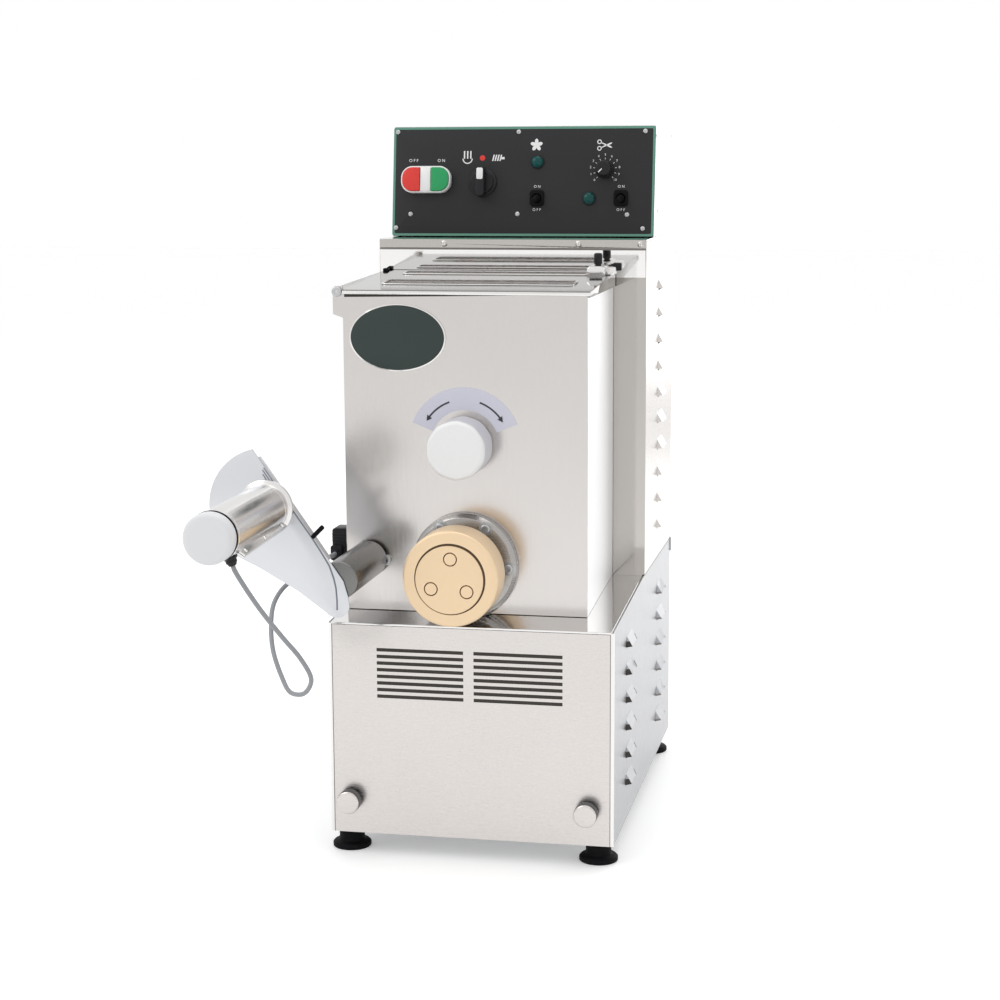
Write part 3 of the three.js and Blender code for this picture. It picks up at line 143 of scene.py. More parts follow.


# %% [markdown]
# ## The machine's finishes
# Brushed steel carries its grain along the sheet, so each steel is told which way its grain runs: the noise
# is stretched along the axes with a small number. The steels differ in grey and in roughness, fitted to the
# photograph sheet by sheet, and many of those greys are painted light and shade: lighter and darker copies
# of one steel. The last four are neither metal nor plastic: they are painted shade in gaps and folds. A
# recipe is a colour, metal, roughness, grain, spread, tone and depth, and some add coat and gloss.

# %% The finishes
LENGTHWISE, UPRIGHT, ALONG = (60, 60, 2600), (2600, 2600, 60), (2200, 60, 2200)
EVEN, FINE, DULL = (900, 900, 900), (1800, 1800, 1800), (1500, 1500, 1500)
RECIPES = {
    # The greys of the side, jacket, box, tower, lid, guard and barrel steels are painted light and shade.
    "satin_steel": ((0.63, 0.60, 0.58), 1.0, 0.27, LENGTHWISE, 0.05, 0.02, 0.003),
    "shaded_side_steel": ((0.38, 0.385, 0.40), 1.0, 0.30, UPRIGHT, 0.05, 0.02, 0.003),
    "lit_pale_steel": ((0.90, 0.90, 0.905), 0.6, 0.42, UPRIGHT, 0.04, 0.01, 0.001),
    "shaded_box_steel": ((0.55, 0.55, 0.555), 1.0, 0.30, EVEN, 0.04, 0.02, 0.002),
    "polished_steel": ((0.63, 0.602, 0.583), 1.0, 0.19, UPRIGHT, 0.04, 0.02, 0.002),
    "mirror_steel": ((0.50, 0.475, 0.45), 1.0, 0.07, UPRIGHT, 0.02, 0.02, 0.001),
    "shaded_lid_steel": ((0.29, 0.278, 0.268), 1.0, 0.07, LENGTHWISE, 0.02, 0.03, 0.001),
    "guard_steel": ((0.63, 0.64, 0.665), 1.0, 0.36, EVEN, 0.05, 0.02, 0.002),
    "tube_steel": ((0.74, 0.73, 0.72), 1.0, 0.22, ALONG, 0.04, 0.02, 0.002),
    "knurl_steel": ((0.13, 0.13, 0.135), 1.0, 0.35, FINE, 0.08, 0.10, 0.01),
    "splash_steel": ((0.86, 0.85, 0.84), 1.0, 0.045, LENGTHWISE, 0.01, 0.01, 0.0),
    "bright_steel": ((0.76, 0.75, 0.74), 1.0, 0.10, EVEN, 0.03, 0.03, 0.002),
    "zinc_steel": ((0.50, 0.51, 0.52), 1.0, 0.42, EVEN, 0.10, 0.10, 0.01),
    "grey_casting": ((0.19, 0.19, 0.185), 1.0, 0.27, DULL, 0.08, 0.10, 0.02),
    "die_bronze": ((0.87, 0.66, 0.43), 0.35, 0.42, FINE, 0.06, 0.03, 0.008),
    "white_plastic": ((0.85, 0.85, 0.85), 0.0, 0.30, FINE, 0.05, 0.01, 0.01, 0.2),
    "shaded_barrel_steel": ((0.40, 0.385, 0.37), 1.0, 0.25, LENGTHWISE, 0.05, 0.05, 0.003),
    "shaded_white": ((0.62, 0.62, 0.665), 0.0, 0.36, FINE, 0.05, 0.02, 0.01, 0.0, 0.2),
    "cap_white": ((0.76, 0.765, 0.78), 0.0, 0.34, FINE, 0.05, 0.01, 0.01, 0.0, 0.2),
    "oval_black": ((0.034, 0.050, 0.046), 0.0, 0.34, FINE, 0.08, 0.10, 0.01, 0.0, 0.25),
    "black_plastic": ((0.014, 0.014, 0.016), 0.0, 0.36, FINE, 0.10, 0.15, 0.02, 0.0, 0.22),
    "black_rubber": ((0.006, 0.006, 0.007), 0.0, 0.6, DULL, 0.12, 0.2, 0.04, 0.0, 0.08),
    "panel_black": ((0.026, 0.026, 0.028), 0.0, 0.45, FINE, 0.08, 0.06, 0.006, 0.0, 0.2),
    "red_plastic": ((0.72, 0.045, 0.035), 0.0, 0.28, FINE, 0.05, 0.03, 0.01, 0.1, 0.3),
    "green_plastic": ((0.02, 0.33, 0.11), 0.0, 0.28, FINE, 0.05, 0.03, 0.01, 0.1, 0.3),
    "border_green": ((0.12, 0.29, 0.22), 0.0, 0.4, FINE, 0.05, 0.05, 0.005, 0.0, 0.3),
    "teal_lens": ((0.0, 0.062, 0.058), 0.0, 0.16, EVEN, 0.04, 0.1, 0.01, 0.0, 0.25),
    "cord_grey": ((0.30, 0.31, 0.33), 0.0, 0.45, DULL, 0.08, 0.06, 0.02),
    "circuit_board": ((0.03, 0.18, 0.08), 0.0, 0.45, EVEN, 0.1, 0.15, 0.03),
    "label_film": ((0.64, 0.64, 0.73), 0.0, 0.35, EVEN, 0.05, 0.02, 0.004, 0.0, 0.3),
    "print_dark": ((0.05, 0.05, 0.06), 0.0, 0.5, EVEN, 0.05, 0.05, 0.004, 0.0, 0.2),
    "dark_shade": ((0.05, 0.045, 0.04), 0.0, 0.5, EVEN, 0.05, 0.1, 0.004, 0.0, 0.2),
    "brown_shade": ((0.095, 0.062, 0.034), 0.0, 0.5, EVEN, 0.05, 0.1, 0.004, 0.0, 0.2),
    "grey_fold_shade": ((0.20, 0.21, 0.25), 0.0, 0.5, EVEN, 0.05, 0.05, 0.004, 0.0, 0.2),
    "soft_shade": ((0.27, 0.25, 0.24), 0.0, 0.5, EVEN, 0.05, 0.05, 0.004, 0.0, 0.2),
}
finishes = {name: finish(name, *recipe) for name, recipe in RECIPES.items()}
print(len(finishes), "finishes")

# %% [markdown]
# ## A finish on every CAD node
# The record names a slot for each node, and the finish of that name goes on it. Seven sheets get a steel
# of their own instead, fitted to how light or dark they are in the photograph: their greys are painted light
# and shade.

# %% Finishes on the nodes
SPECIAL = {
    "tower_front": "mirror_steel", "tower_top": "mirror_steel", "tub_jacket": "lit_pale_steel",
    "control_box": "shaded_box_steel", "base_deck": "bright_steel",
    "side_panel_left": "shaded_side_steel", "side_panel_right": "shaded_side_steel",
}
for row in frame["record"]["subparts"]:
    node = nodes[row["node"]]
    node.data.materials.clear()
    node.data.materials.append(finishes[SPECIAL.get(row["node"], row["material_slot"])])
print("finishes on", len(nodes), "nodes")

# %% [markdown]
# ## Sheet edges
# Bent and cut sheet has a small round along every edge, and that round is what draws the bright lines of
# a steel casing. The CAD meshes stay as they are: one modifier joins their loose triangles, one makes each
# flat face a single face and one rounds the sharp edges, so all three can be switched off again.

# %% Round the edges of the sheets
FLAT_WITHIN, BENT_FROM = math.radians(1), math.radians(35)
SHEETS = {
    "front_panel": 0.5, "side_panel_left": 0.6, "side_panel_right": 0.6, "base_deck": 0.4, "back_panel": 0.5,
    "tower_front": 0.4, "upper_side_left": 0.5, "upper_side_right": 0.5, "tower_top": 0.6, "control_box": 0.9,
    "tub_front": 0.5, "tub_jacket": 0.7, "mixing_trough": 0.4,
    "gate_shutter": 0.3, "cutter_knife": 0.3, "mains_inlet": 0.4, "base_tray": 0.4,
}
for name, radius in SHEETS.items():
    weld = nodes[name].modifiers.new("weld", "WELD")
    weld.merge_threshold = 0.00001
    flat = nodes[name].modifiers.new("flat", "DECIMATE")
    flat.decimate_type, flat.angle_limit = "DISSOLVE", FLAT_WITHIN
    bevel = nodes[name].modifiers.new("edge", "BEVEL")
    bevel.width, bevel.segments = radius / 1000, 2
    bevel.limit_method, bevel.angle_limit = "ANGLE", BENT_FROM
print(len(SHEETS), "sheets with rounded edges")

# %% [markdown]
# ## The cutter's cord
# A grey cable hangs from the gland under the cutter motor, makes one loose loop and rises to the plug
# on the tub's left wall. It is a tube of twelve sides led along a smooth curve through the same route
# as the CAD solid.

# %% Cord route
CORD_RADIUS = 2.2
MOTOR_X = ARM_PIVOT[0] + MOTOR_REACH * math.cos(math.radians(ARM_TURN))
MOTOR_Z = ARM_PIVOT[1] + MOTOR_REACH * math.sin(math.radians(ARM_TURN))
GLAND_Y, GLAND_END, GLAND_WAY = -200, 31.2, (0.317, -0.948)
route = [(MOTOR_X + GLAND_WAY[0] * r, GLAND_Y, MOTOR_Z + GLAND_WAY[1] * r)
         for r in (GLAND_END + 0.3, GLAND_END + 4)]
route += [
    (-157, -193, 308), (-146.9, -185, 288.3), (-134.4, -165, 260.7), (-123.5, -150, 239.2),
    (-118.1, -135, 217.2), (-122.3, -128, 205.9), (-131, -121.5, 197.9), (-144.8, -114, 197.5),
    (-156.2, -104, 210.6), (-167.2, -92, 231.1), (-173, -78, 252), (-174.6, -64, 268),
    (-171, -50, 279), (-163.5, -30, 287), (-152.5, -2, 294), (-145.5, 22, 297.6),
    (-143.5, 34, 298), (-143.5, 39.7, 298),
]
print("cord route through", len(route), "points")

# %% [markdown]
# ## A smooth line and a tube round it
# A cable can't kink, so the few points of its route are joined by a curve that passes through every one
# of them. A ring of points is then carried along it, always square to the way ahead.


# %% Curve and tube helpers
def smooth_line(points, steps):
    """A centripetal curve through the points, as a list of closer points."""
    points = [Vector(p) for p in points]
    padded = [2 * points[0] - points[1], *points, 2 * points[-1] - points[-2]]
    line = []
    for p0, p1, p2, p3 in zip(padded, padded[1:], padded[2:], padded[3:]):
        t1 = (p1 - p0).length ** 0.5
        t2 = t1 + (p2 - p1).length ** 0.5
        t3 = t2 + (p3 - p2).length ** 0.5
        for k in range(steps):
            t = t1 + (t2 - t1) * k / steps
            a1 = p0 * (t1 - t) / t1 + p1 * t / t1
            a2 = p1 * (t2 - t) / (t2 - t1) + p2 * (t - t1) / (t2 - t1)
            a3 = p2 * (t3 - t) / (t3 - t2) + p3 * (t - t2) / (t3 - t2)
            b1 = a1 * (t2 - t) / t2 + a2 * t / t2
            b2 = a2 * (t3 - t) / (t3 - t1) + a3 * (t - t1) / (t3 - t1)
            line.append(b1 * (t2 - t) / (t2 - t1) + b2 * (t - t1) / (t2 - t1))
    return [*line, points[-1]]


def tube(line, radius, sides=12):
    """A closed round tube along a line of points."""
    bm = bmesh.new()
    side = Vector((1, 0, 0))
    rings = []
    for i, point in enumerate(line):
        along = (line[min(i + 1, len(line) - 1)] - line[max(i - 1, 0)]).normalized()
        side = (side - along * side.dot(along)).normalized()
        up = along.cross(side)
        turns = [2 * math.pi * k / sides for k in range(sides)]
        rings.append([bm.verts.new(point + radius * (math.cos(t) * side + math.sin(t) * up)) for t in turns])
    for one, two in zip(rings, rings[1:]):
        for k in range(sides):
            bm.faces.new((one[k], one[(k + 1) % sides], two[(k + 1) % sides], two[k]))
    bm.faces.new(rings[0][::-1])
    bm.faces.new(rings[-1])
    return bm


# %% [markdown]
# ## Making a piece
# Each new piece is made as a small mesh in millimetres, moved into the row frame, shaded smooth with
# its sharp edges kept, and given its finish and the body that it moves with.


# %% Piece helper
def make(name, bm, body, finish_name, place=MACHINE, stands_for=(), sharp=32):
    """Makes a piece of a mesh: places and shades it, and gives it its finish and body."""
    bm.transform(place)
    bmesh.ops.recalc_face_normals(bm, faces=bm.faces)
    mesh = bpy.data.meshes.new(name)
    bm.to_mesh(mesh)
    bm.free()
    mesh.shade_smooth()
    mesh.set_sharp_from_angle(angle=math.radians(sharp))
    mesh.materials.append(finishes[finish_name])
    made = bpy.data.objects.new(name, mesh)
    bpy.context.scene.collection.objects.link(made)
    if body:
        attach(made, body)
    if stands_for:
        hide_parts(*stands_for)
    print("made", name, "with", len(mesh.polygons), "faces")
    return made


# %% [markdown]
# ## The cord itself
# One end stays with the tub and the other goes with the arm, so no single body can carry the cord. It is
# made without a body, and its place is baked into its mesh.

# %% Cord
STEPS_PER_POINT = 8
cord_line = smooth_line(route, STEPS_PER_POINT)
cord = make("motor_cord", tube(cord_line, CORD_RADIUS), None, "cord_grey", stands_for=["cutter_cord"],
            sharp=60)
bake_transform(cord)

# %% [markdown]
# ## Turned shapes
# Knobs, feet, nuts and tubes are turned on a lathe, so they are made the same way: a profile is led round
# an axis. Its corners are eased first, because a real edge is never sharp, and its narrow highlight is what
# tells the eye that it is metal or moulded plastic. A wave in the radius gives flutes and knurls.


# %% Lathe helper
def eased(profile, reach):
    """Rounds the corners of a profile of (radius, distance along the axis) points."""
    points = [Vector(p) for p in profile]
    line = [points[0]]
    for before, corner, after in zip(points, points[1:], points[2:]):
        back, on = before - corner, after - corner
        cut = min(reach, back.length / 2.2, on.length / 2.2)
        if cut < 0.03:
            line.append(corner)
            continue
        start, end = corner + back.normalized() * cut, corner + on.normalized() * cut
        line += [start, (start + end + 2 * corner) / 4, end]
    return [*line, points[-1]]


def spot(axis, a, b, along):
    """A point from its two places across the axis and its place along it."""
    return {"x": (along, a, b), "y": (a, along, b), "z": (a, b, along)}[axis]


def lathe(profile, sides=64, axis="y", centre=(0, 0), ease=0.5, wave=lambda radius, turn: radius):
    """Leads a profile of (radius, distance along the axis) points round the axis."""
    bm = bmesh.new()
    line = eased(profile, ease)
    closed = (Vector(profile[0]) - Vector(profile[-1])).length < 1e-6
    rings = []
    for radius, along in line[:-1] if closed else line:
        count = sides if radius > 1e-6 else 1
        ring = []
        for k in range(count):
            turn = 2 * math.pi * k / sides
            out = wave(radius, turn)
            a, b = centre[0] + out * math.cos(turn), centre[1] + out * math.sin(turn)
            ring.append(bm.verts.new(spot(axis, a, b, along)))
        rings.append(ring)
    for one, two in zip(rings, [*rings[1:], rings[0]] if closed else rings[1:]):
        for k in range(sides):
            corners = [one[k % len(one)], one[(k + 1) % len(one)], two[(k + 1) % len(two)], two[k % len(two)]]
            corners = list(dict.fromkeys(corners))
            if len(corners) > 2:
                bm.faces.new(corners)
    return bm


def hoop(inner, outer, near, far):
    """The closed profile of a plain ring."""
    return [(inner, near), (outer, near), (outer, far), (inner, far), (inner, near)]


def pin(centre, radius, near=-10, far=10, sides=40):
    """A plain round bar along Y, mostly for cutting holes."""
    return lathe([(0, near), (radius, near), (radius, far), (0, far)], sides, centre=centre, ease=0)


# %% [markdown]
# ## Flat shapes
# Plates, strips and prints are cut from sheet: an outline is drawn flat and made thick. Only its real
# edges are eased, those where two faces meet at more than a slight angle, so round outlines stay round.


# %% Slab and outline helpers
def slab(outline, near, far, axis="y", ease=0.3, segments=2):
    """Makes an outline thick, from near to far along the axis."""
    bm = bmesh.new()
    low = [bm.verts.new(spot(axis, a, b, near)) for a, b in outline]
    high = [bm.verts.new(spot(axis, a, b, far)) for a, b in outline]
    bm.faces.new(low[::-1])
    bm.faces.new(high)
    for i in range(len(outline)):
        j = (i + 1) % len(outline)
        bm.faces.new((low[i], low[j], high[j], high[i]))
    bmesh.ops.recalc_face_normals(bm, faces=bm.faces)
    if ease:
        edges = [e for e in bm.edges if e.calc_face_angle(0) > math.radians(28)]
        bmesh.ops.bevel(bm, geom=edges, offset=ease, segments=segments, profile=0.5, affect="EDGES",
                        clamp_overlap=True)
    return bm


def rectangle(a0, a1, b0, b1):
    """The outline of a box with square corners."""
    return [(a0, b0), (a1, b0), (a1, b1), (a0, b1)]


def rounded(a0, a1, b0, b1, r, steps=6):
    """The outline of a box with round corners."""
    corners = [(a1 - r, b0 + r, -90), (a1 - r, b1 - r, 0), (a0 + r, b1 - r, 90), (a0 + r, b0 + r, 180)]
    turns = [(a, b, math.radians(first + 90 * k / steps))
             for a, b, first in corners for k in range(steps + 1)]
    return [(a + r * math.cos(t), b + r * math.sin(t)) for a, b, t in turns]


def oval(a, b, half_a, half_b, sides=48):
    """The outline of an oval about the point a, b."""
    turns = [2 * math.pi * k / sides for k in range(sides)]
    return [(a + half_a * math.cos(t), b + half_b * math.sin(t)) for t in turns]


# %% [markdown]
# ## Joining, copying and cutting
# A piece may be several shapes joined, or one shape repeated, like a row of screws. Holes and slots are cut
# with Blender's boolean, as a drill or a punch would cut them.


# %% Helpers that join, move and cut
def together(*parts):
    """Joins meshes into one and frees them."""
    whole = bmesh.new()
    for part in parts:
        mesh = bpy.data.meshes.new("part")
        part.to_mesh(mesh)
        part.free()
        whole.from_mesh(mesh)
        bpy.data.meshes.remove(mesh)
    return whole


def moved(bm, *matrices):
    """Moves a mesh by each matrix in turn."""
    for matrix in matrices:
        bm.transform(matrix)
    return bm


def copies(bm, places):
    """Repeats a mesh at each place, as one mesh."""
    made = together(*[moved(bm.copy(), place) for place in places])
    bm.free()
    return made


def carve(bm, *tools):
    """Cuts each tool's shape out of a mesh with Blender's boolean, one after the other."""
    for tool in tools:
        made = []
        for part in (bm, tool):
            bmesh.ops.recalc_face_normals(part, faces=part.faces)
            mesh = bpy.data.meshes.new("part")
            part.to_mesh(mesh)
            part.free()
            made.append(bpy.data.objects.new("part", mesh))
            bpy.context.scene.collection.objects.link(made[-1])
        cut = made[0].modifiers.new("cut", "BOOLEAN")
        cut.operation, cut.solver, cut.object = "DIFFERENCE", "EXACT", made[1]
        bm = bmesh.new()
        bm.from_object(made[0], bpy.context.evaluated_depsgraph_get())
        for part in made:
            mesh = part.data
            bpy.data.objects.remove(part)
            bpy.data.meshes.remove(mesh)
    return bm


def shift(x=0.0, y=0.0, z=0.0):
    """A move, as a matrix."""
    return Matrix.Translation((x, y, z))


def turn(degrees, axis):
    """A turn about an axis, as a matrix."""
    return Matrix.Rotation(math.radians(degrees), 4, axis)


def pan_screw(radius, high, recess=True):
    """A pan-head screw on the plane Y 0, facing the front, with a cross recess if it has one."""
    dome = [(0, -high), (radius * 0.55, -high * 0.94), (radius * 0.9, -high * 0.55), (radius, 0), (0, 0)]
    head = lathe(dome, 24, ease=0.2)
    if not recess:
        return head
    arm = rounded(-radius * 0.55, radius * 0.55, -0.32, 0.32, 0.1, 1)
    across = slab(arm, -high - 1, -high * 0.45, ease=0)
    upright = moved(slab(arm, -high - 1, -high * 0.45, ease=0), turn(90, "Y"))
    return carve(head, across, upright)


print("helpers for turned, flat, joined and cut shapes")


# %% [markdown]
# ## Ring nut and die
# The nut and the die are turned from pale bronze. The die's three openings are round grooves about a core
# pin, cut with the boolean. The gap round the real die is uneven, so the die sits a little off the nut's
# middle here, and a thin dark ring in the gap is painted shade.

# %% Ring nut, die and gap
DIE_AXIS, MIX_AXIS = (-13.6, 289.5), (-13.6, 408)
DIE_OFF = (-0.7, 0, -0.8)
OPENING_REACH, FIRST_OPENING = 20, 87
nut_profile = [(34.5, -23), (44.6, -23), (46.3, -21.4), (46.3, 12.4), (44.8, 14), (38.7, 14), (38.7, -20.3),
               (34.5, -20.3), (34.5, -23)]
make("nut_ring", lathe(nut_profile, 96, centre=DIE_AXIS, ease=0.9), "nut", "die_bronze",
     stands_for=["ring_nut"])

grooves = []
for angle in [math.radians(FIRST_OPENING + 120 * k) for k in range(3)]:
    middle = (DIE_AXIS[0] + OPENING_REACH * math.cos(angle), DIE_AXIS[1] + OPENING_REACH * math.sin(angle))
    grooves.append(lathe(hoop(5.6, 6.8, -25, -13), 40, centre=middle, ease=0))
die_profile = [(0, -22.7), (32.9, -22.7), (32.9, -20), (38, -20), (38, -10.8), (0, -10.8)]
disc = moved(carve(lathe(die_profile, 96, centre=DIE_AXIS, ease=0.35), *grooves), shift(*DIE_OFF))
make("die_disc", disc, "casing", "die_bronze", stands_for=["die"], sharp=25)
gap = lathe(hoop(31.5, 34.45, -21.9, -20.4), 96, centre=DIE_AXIS, ease=0)
make("die_gap_shade", gap, "casing", "brown_shade")

# %% [markdown]
# ## Barrel and flange
# The barrel is one turned piece with a flange. It is cut by the same three shapes as the CAD solid: the
# trough's saddle, the feed opening and the sloping deck. The screws on the flange's upper half are made as
# one socket screw with its washer, repeated.

# %% Barrel and flange screws
SCREW_REACH, SCREW_ANGLES = 45, (0, 60, 120, 180)
barrel_profile = [(24, -10.5), (38, -10.5), (38, 16), (37, 16), (37, 37), (48.5, 37), (52.5, 41),
                  (52.5, 48.5), (29, 48.5), (29, 217.4), (10.5, 217.4), (10.5, 205), (24, 205), (24, -10.5)]
barrel = lathe(barrel_profile, 96, centre=DIE_AXIS, ease=0.6)
saddle = pin(MIX_AXIS, 93.3, 50.8, 240, 96)
feed = slab(rectangle(-31.6, 4.4, 299.5, 329.5), 73, 147, ease=0)
deck = slab([(-30, 0), (48.8, 0), (48.8, 241.8), (-30, 237.4)], -100, 100, "x", ease=0)
# The barrel's steel is darker than the casing's: painted shade round the nut.
make("barrel_tube", carve(barrel, saddle, feed, deck), "casing", "shaded_barrel_steel",
     stands_for=["auger_barrel"])
cap_screw = lathe([(0, 32.9), (3.6, 32.9), (4.6, 33.8), (4.6, 37.1), (0, 37.1)], 24, ease=0.3)
cap_screw = carve(cap_screw, pin((0, 0), 2.4, 30, 35.4, 6))
washer = lathe(hoop(4.2, 6.6, 36.2, 37.2), 32, ease=0.2)
places = [shift(DIE_AXIS[0] + SCREW_REACH * math.cos(a), 0, DIE_AXIS[1] + SCREW_REACH * math.sin(a))
          for a in [math.radians(degrees) for degrees in SCREW_ANGLES]]
make("flange_screws", copies(together(cap_screw, washer), places), "casing", "zinc_steel")

# %% [markdown]
# ## The gate knob
# A white moulded knob with ten shallow flutes turns the gate under the paddles. The light falls on its face
# and leaves its side greyer, so a thin sleeve of a shaded white lies round the side.


# %% Gate knob
def fluted(radius, angle):
    """A radius that dips a little at each of ten flutes."""
    return radius * (1 - 0.014 * (0.5 + 0.5 * math.cos(10 * angle)))


knob_profile = [(0, 4), (26, 4), (28.5, 6.6), (28.5, 43.6), (27, 45.6), (6.2, 45.6), (6.2, 61.8), (0, 61.8)]
grip = lathe(knob_profile, 80, centre=MIX_AXIS, ease=1.2, wave=lambda r, t: fluted(r, t) if r > 20 else r)
make("gate_grip", grip, "gate", "white_plastic", stands_for=["gate_knob"])
side_profile = [(28.1, 9), (28.58, 9.4), (28.58, 43), (28.1, 43.4), (28.1, 9)]
side = lathe(side_profile, 80, centre=MIX_AXIS, ease=0, wave=fluted)
make("gate_grip_side", side, "gate", "shaded_white")

# %% [markdown]
# ## The arc label
# Above the knob an arc of pale film carries two arrows, one for each way of turning. The film is a stretch
# of a flat ring, and the arrows are thin print on it: a narrower stretch with a three-cornered head.


# %% Arc label and arrows
def band(centre, inner, outer, first, last, steps=28):
    """The outline of a stretch of a ring."""
    turns = [math.radians(first + (last - first) * k / steps) for k in range(steps + 1)]
    far = [(centre[0] + outer * math.cos(t), centre[1] + outer * math.sin(t)) for t in turns]
    near = [(centre[0] + inner * math.cos(t), centre[1] + inner * math.sin(t)) for t in reversed(turns)]
    return far + near


PRINT_FRONT, PRINT_BACK = 48.3, 48.6
make("gate_label", slab(band(MIX_AXIS, 34, 56, 22, 158), 48.5, 48.75, ease=0), "casing", "label_film")
arrows = []
for side in (1, -1):
    start, foot, tip = [90 - side * degrees for degrees in (20, 52, 59)]
    shaft = band(MIX_AXIS, 43.2, 44.8, min(start, foot), max(start, foot), 12)
    head = [(MIX_AXIS[0] + r * math.cos(math.radians(t)), MIX_AXIS[1] + r * math.sin(math.radians(t)))
            for r, t in ((44, tip), (47, foot), (41, foot))]
    arrows += [slab(outline, PRINT_FRONT, PRINT_BACK, ease=0) for outline in (shaft, head)]
make("label_arrows", together(*arrows), "casing", "print_dark")

# %% [markdown]
# ## The oval plate
# A flat black oval with a thin steel rim is fixed on the tub's front. It is left bare. The rim is turned as
# a round hoop of radius 1 and then stretched to the oval's two reaches.

# %% Oval plate
OVAL_MIDDLE, OVAL_WIDE, OVAL_HIGH, RIM = (-79.2, 511.1), 47.8, 32.4, 1.2
plate = slab(oval(*OVAL_MIDDLE, OVAL_WIDE - RIM, OVAL_HIGH - RIM, 72), 46.4, 48.75, ease=0.5)
make("oval_plate", plate, "casing", "oval_black")
rim = lathe([(0.972, 46.6), (1, 46.9), (1, 48.75), (0.972, 48.75), (0.972, 46.6)], 72, ease=0)
rim = moved(rim, Matrix.Diagonal((OVAL_WIDE, 1, OVAL_HIGH, 1)), shift(OVAL_MIDDLE[0], 0, OVAL_MIDDLE[1]))
make("oval_rim", rim, "casing", "bright_steel")

# %% [markdown]
# ## The cutter's motor
# The motor is a bright tube with a white end cap over a black gasket. Two flanges close the split tube, with
# three screws through them. The grey sleeve beside it turns on a spindle. These pieces are made in the
# arm's own frame, where X runs from the spindle to the motor.

# %% Motor tube, cap, gasket and sleeve
MOTOR_AT, FLANGE_TURN = (MOTOR_REACH, 0), 170
flange = [(21, -216), (31.5, -216), (28, -82), (21, -82)]
clamp = [slab(flange, near, far, "z", ease=0.3) for near, far in ((-1.8, -0.15), (0.15, 1.8))]
clamp += [moved(pan_screw(2.4, 1.5), turn(-90, "X"), shift(x, y, 1.75))
          for x, y in ((27.6, -206), (26.4, -148), (25, -91))]
clamp = [moved(part, turn(FLANGE_TURN, "Y"), shift(MOTOR_REACH, 0, 0)) for part in clamp]
beads_and_highlights = []
for y in (-218, -84):
    bead_and_highlight = [(22.4, y), (22.95, y + 0.15), (22.95, y + 1.25), (22.4, y + 1.4), (22.4, y)]
    beads_and_highlights.append(lathe(bead_and_highlight, 80, centre=MOTOR_AT, ease=0.1))
motor_profile = [(0, -225), (21, -225), (21, -222.5), (22.7, -222), (22.7, -75.3), (26.5, -74.3),
                 (26.5, -70.3), (0, -70.3)]
motor = lathe(motor_profile, 80, centre=MOTOR_AT, ease=0.5)
make("motor_tube", together(motor, *clamp, *beads_and_highlights), "cutter_arm", "tube_steel", ARM, ["cutter_motor"])
cap_profile = [(0, -239), (19.5, -239), (22, -238), (23, -235.5), (23, -225.3), (0, -225.3)]
make("motor_cap", lathe(cap_profile, 80, centre=MOTOR_AT, ease=1.6), "cutter_arm", "cap_white", ARM,
     ["cutter_cap"])
gasket = lathe(hoop(21.2, 23.2, -225.2, -222.6), 64, centre=MOTOR_AT, ease=0.2)
make("cap_gasket", gasket, "cutter_arm", "black_rubber", ARM)
sleeve_profile = [(0, -67.7), (17, -67.7), (18, -66.7), (18, 41.7), (17, 42.7), (8.4, 42.7), (8.4, -42),
                  (0, -42)]
make("sleeve_tube", lathe(sleeve_profile, 64, ease=0.6), "cutter_arm", "grey_casting", ARM, ["arm_sleeve"])

# %% [markdown]
# ## The cutter's guard
# The guard is one sheet, round about the motor and straight along one side, where it turns back. Its
# outline is drawn from arcs and from points beside the straight side, the motor's hole is cut, and the
# turned-back edge is a second slab. A dark line on its face is painted shade along a fold, six thin dark
# strips beside the straight side are painted shade by the turned-back edge, and a black stud stands out
# from its straight side.


# %% Guard sheet
CHORD_START, CHORD_END = Vector((-3.5, -3.7)), Vector((143, -30))
CHORD_WAY = (CHORD_END - CHORD_START).normalized()
CHORD_OUT = Vector((CHORD_WAY.y, -CHORD_WAY.x))


def beside(far, away):
    """A point of the arm's plane, far along the guard's straight side and away from it."""
    return tuple(CHORD_START + CHORD_WAY * far + CHORD_OUT * away)


def round_part(a, b, radius, first, last, steps):
    """A stretch of a circle, as points."""
    turns = [math.radians(first + (last - first) * k / steps) for k in range(steps + 1)]
    return [(a + radius * math.cos(t), b + radius * math.sin(t)) for t in turns]


outline = [*round_part(*MOTOR_AT, 56, -32.4, 104, 48), (60.4, 46.4), (19.8, 35.1),
           *round_part(-14, 17, 13, 85, 215, 20), (-17.4, 4), tuple(CHORD_START)]
guard = carve(slab(outline, -70, -68.5, ease=0.35), pin(MOTOR_AT, 8, -80, -60, 48))
edge = [beside(24, -1.4), beside(24, 0), beside(140, 0), beside(140, -1.4)]
turned_back = slab(edge, -69.6, -60.5, ease=0.3)
make("guard_plate", together(guard, turned_back), "cutter_arm", "guard_steel", ARM, ["cutter_guard"])

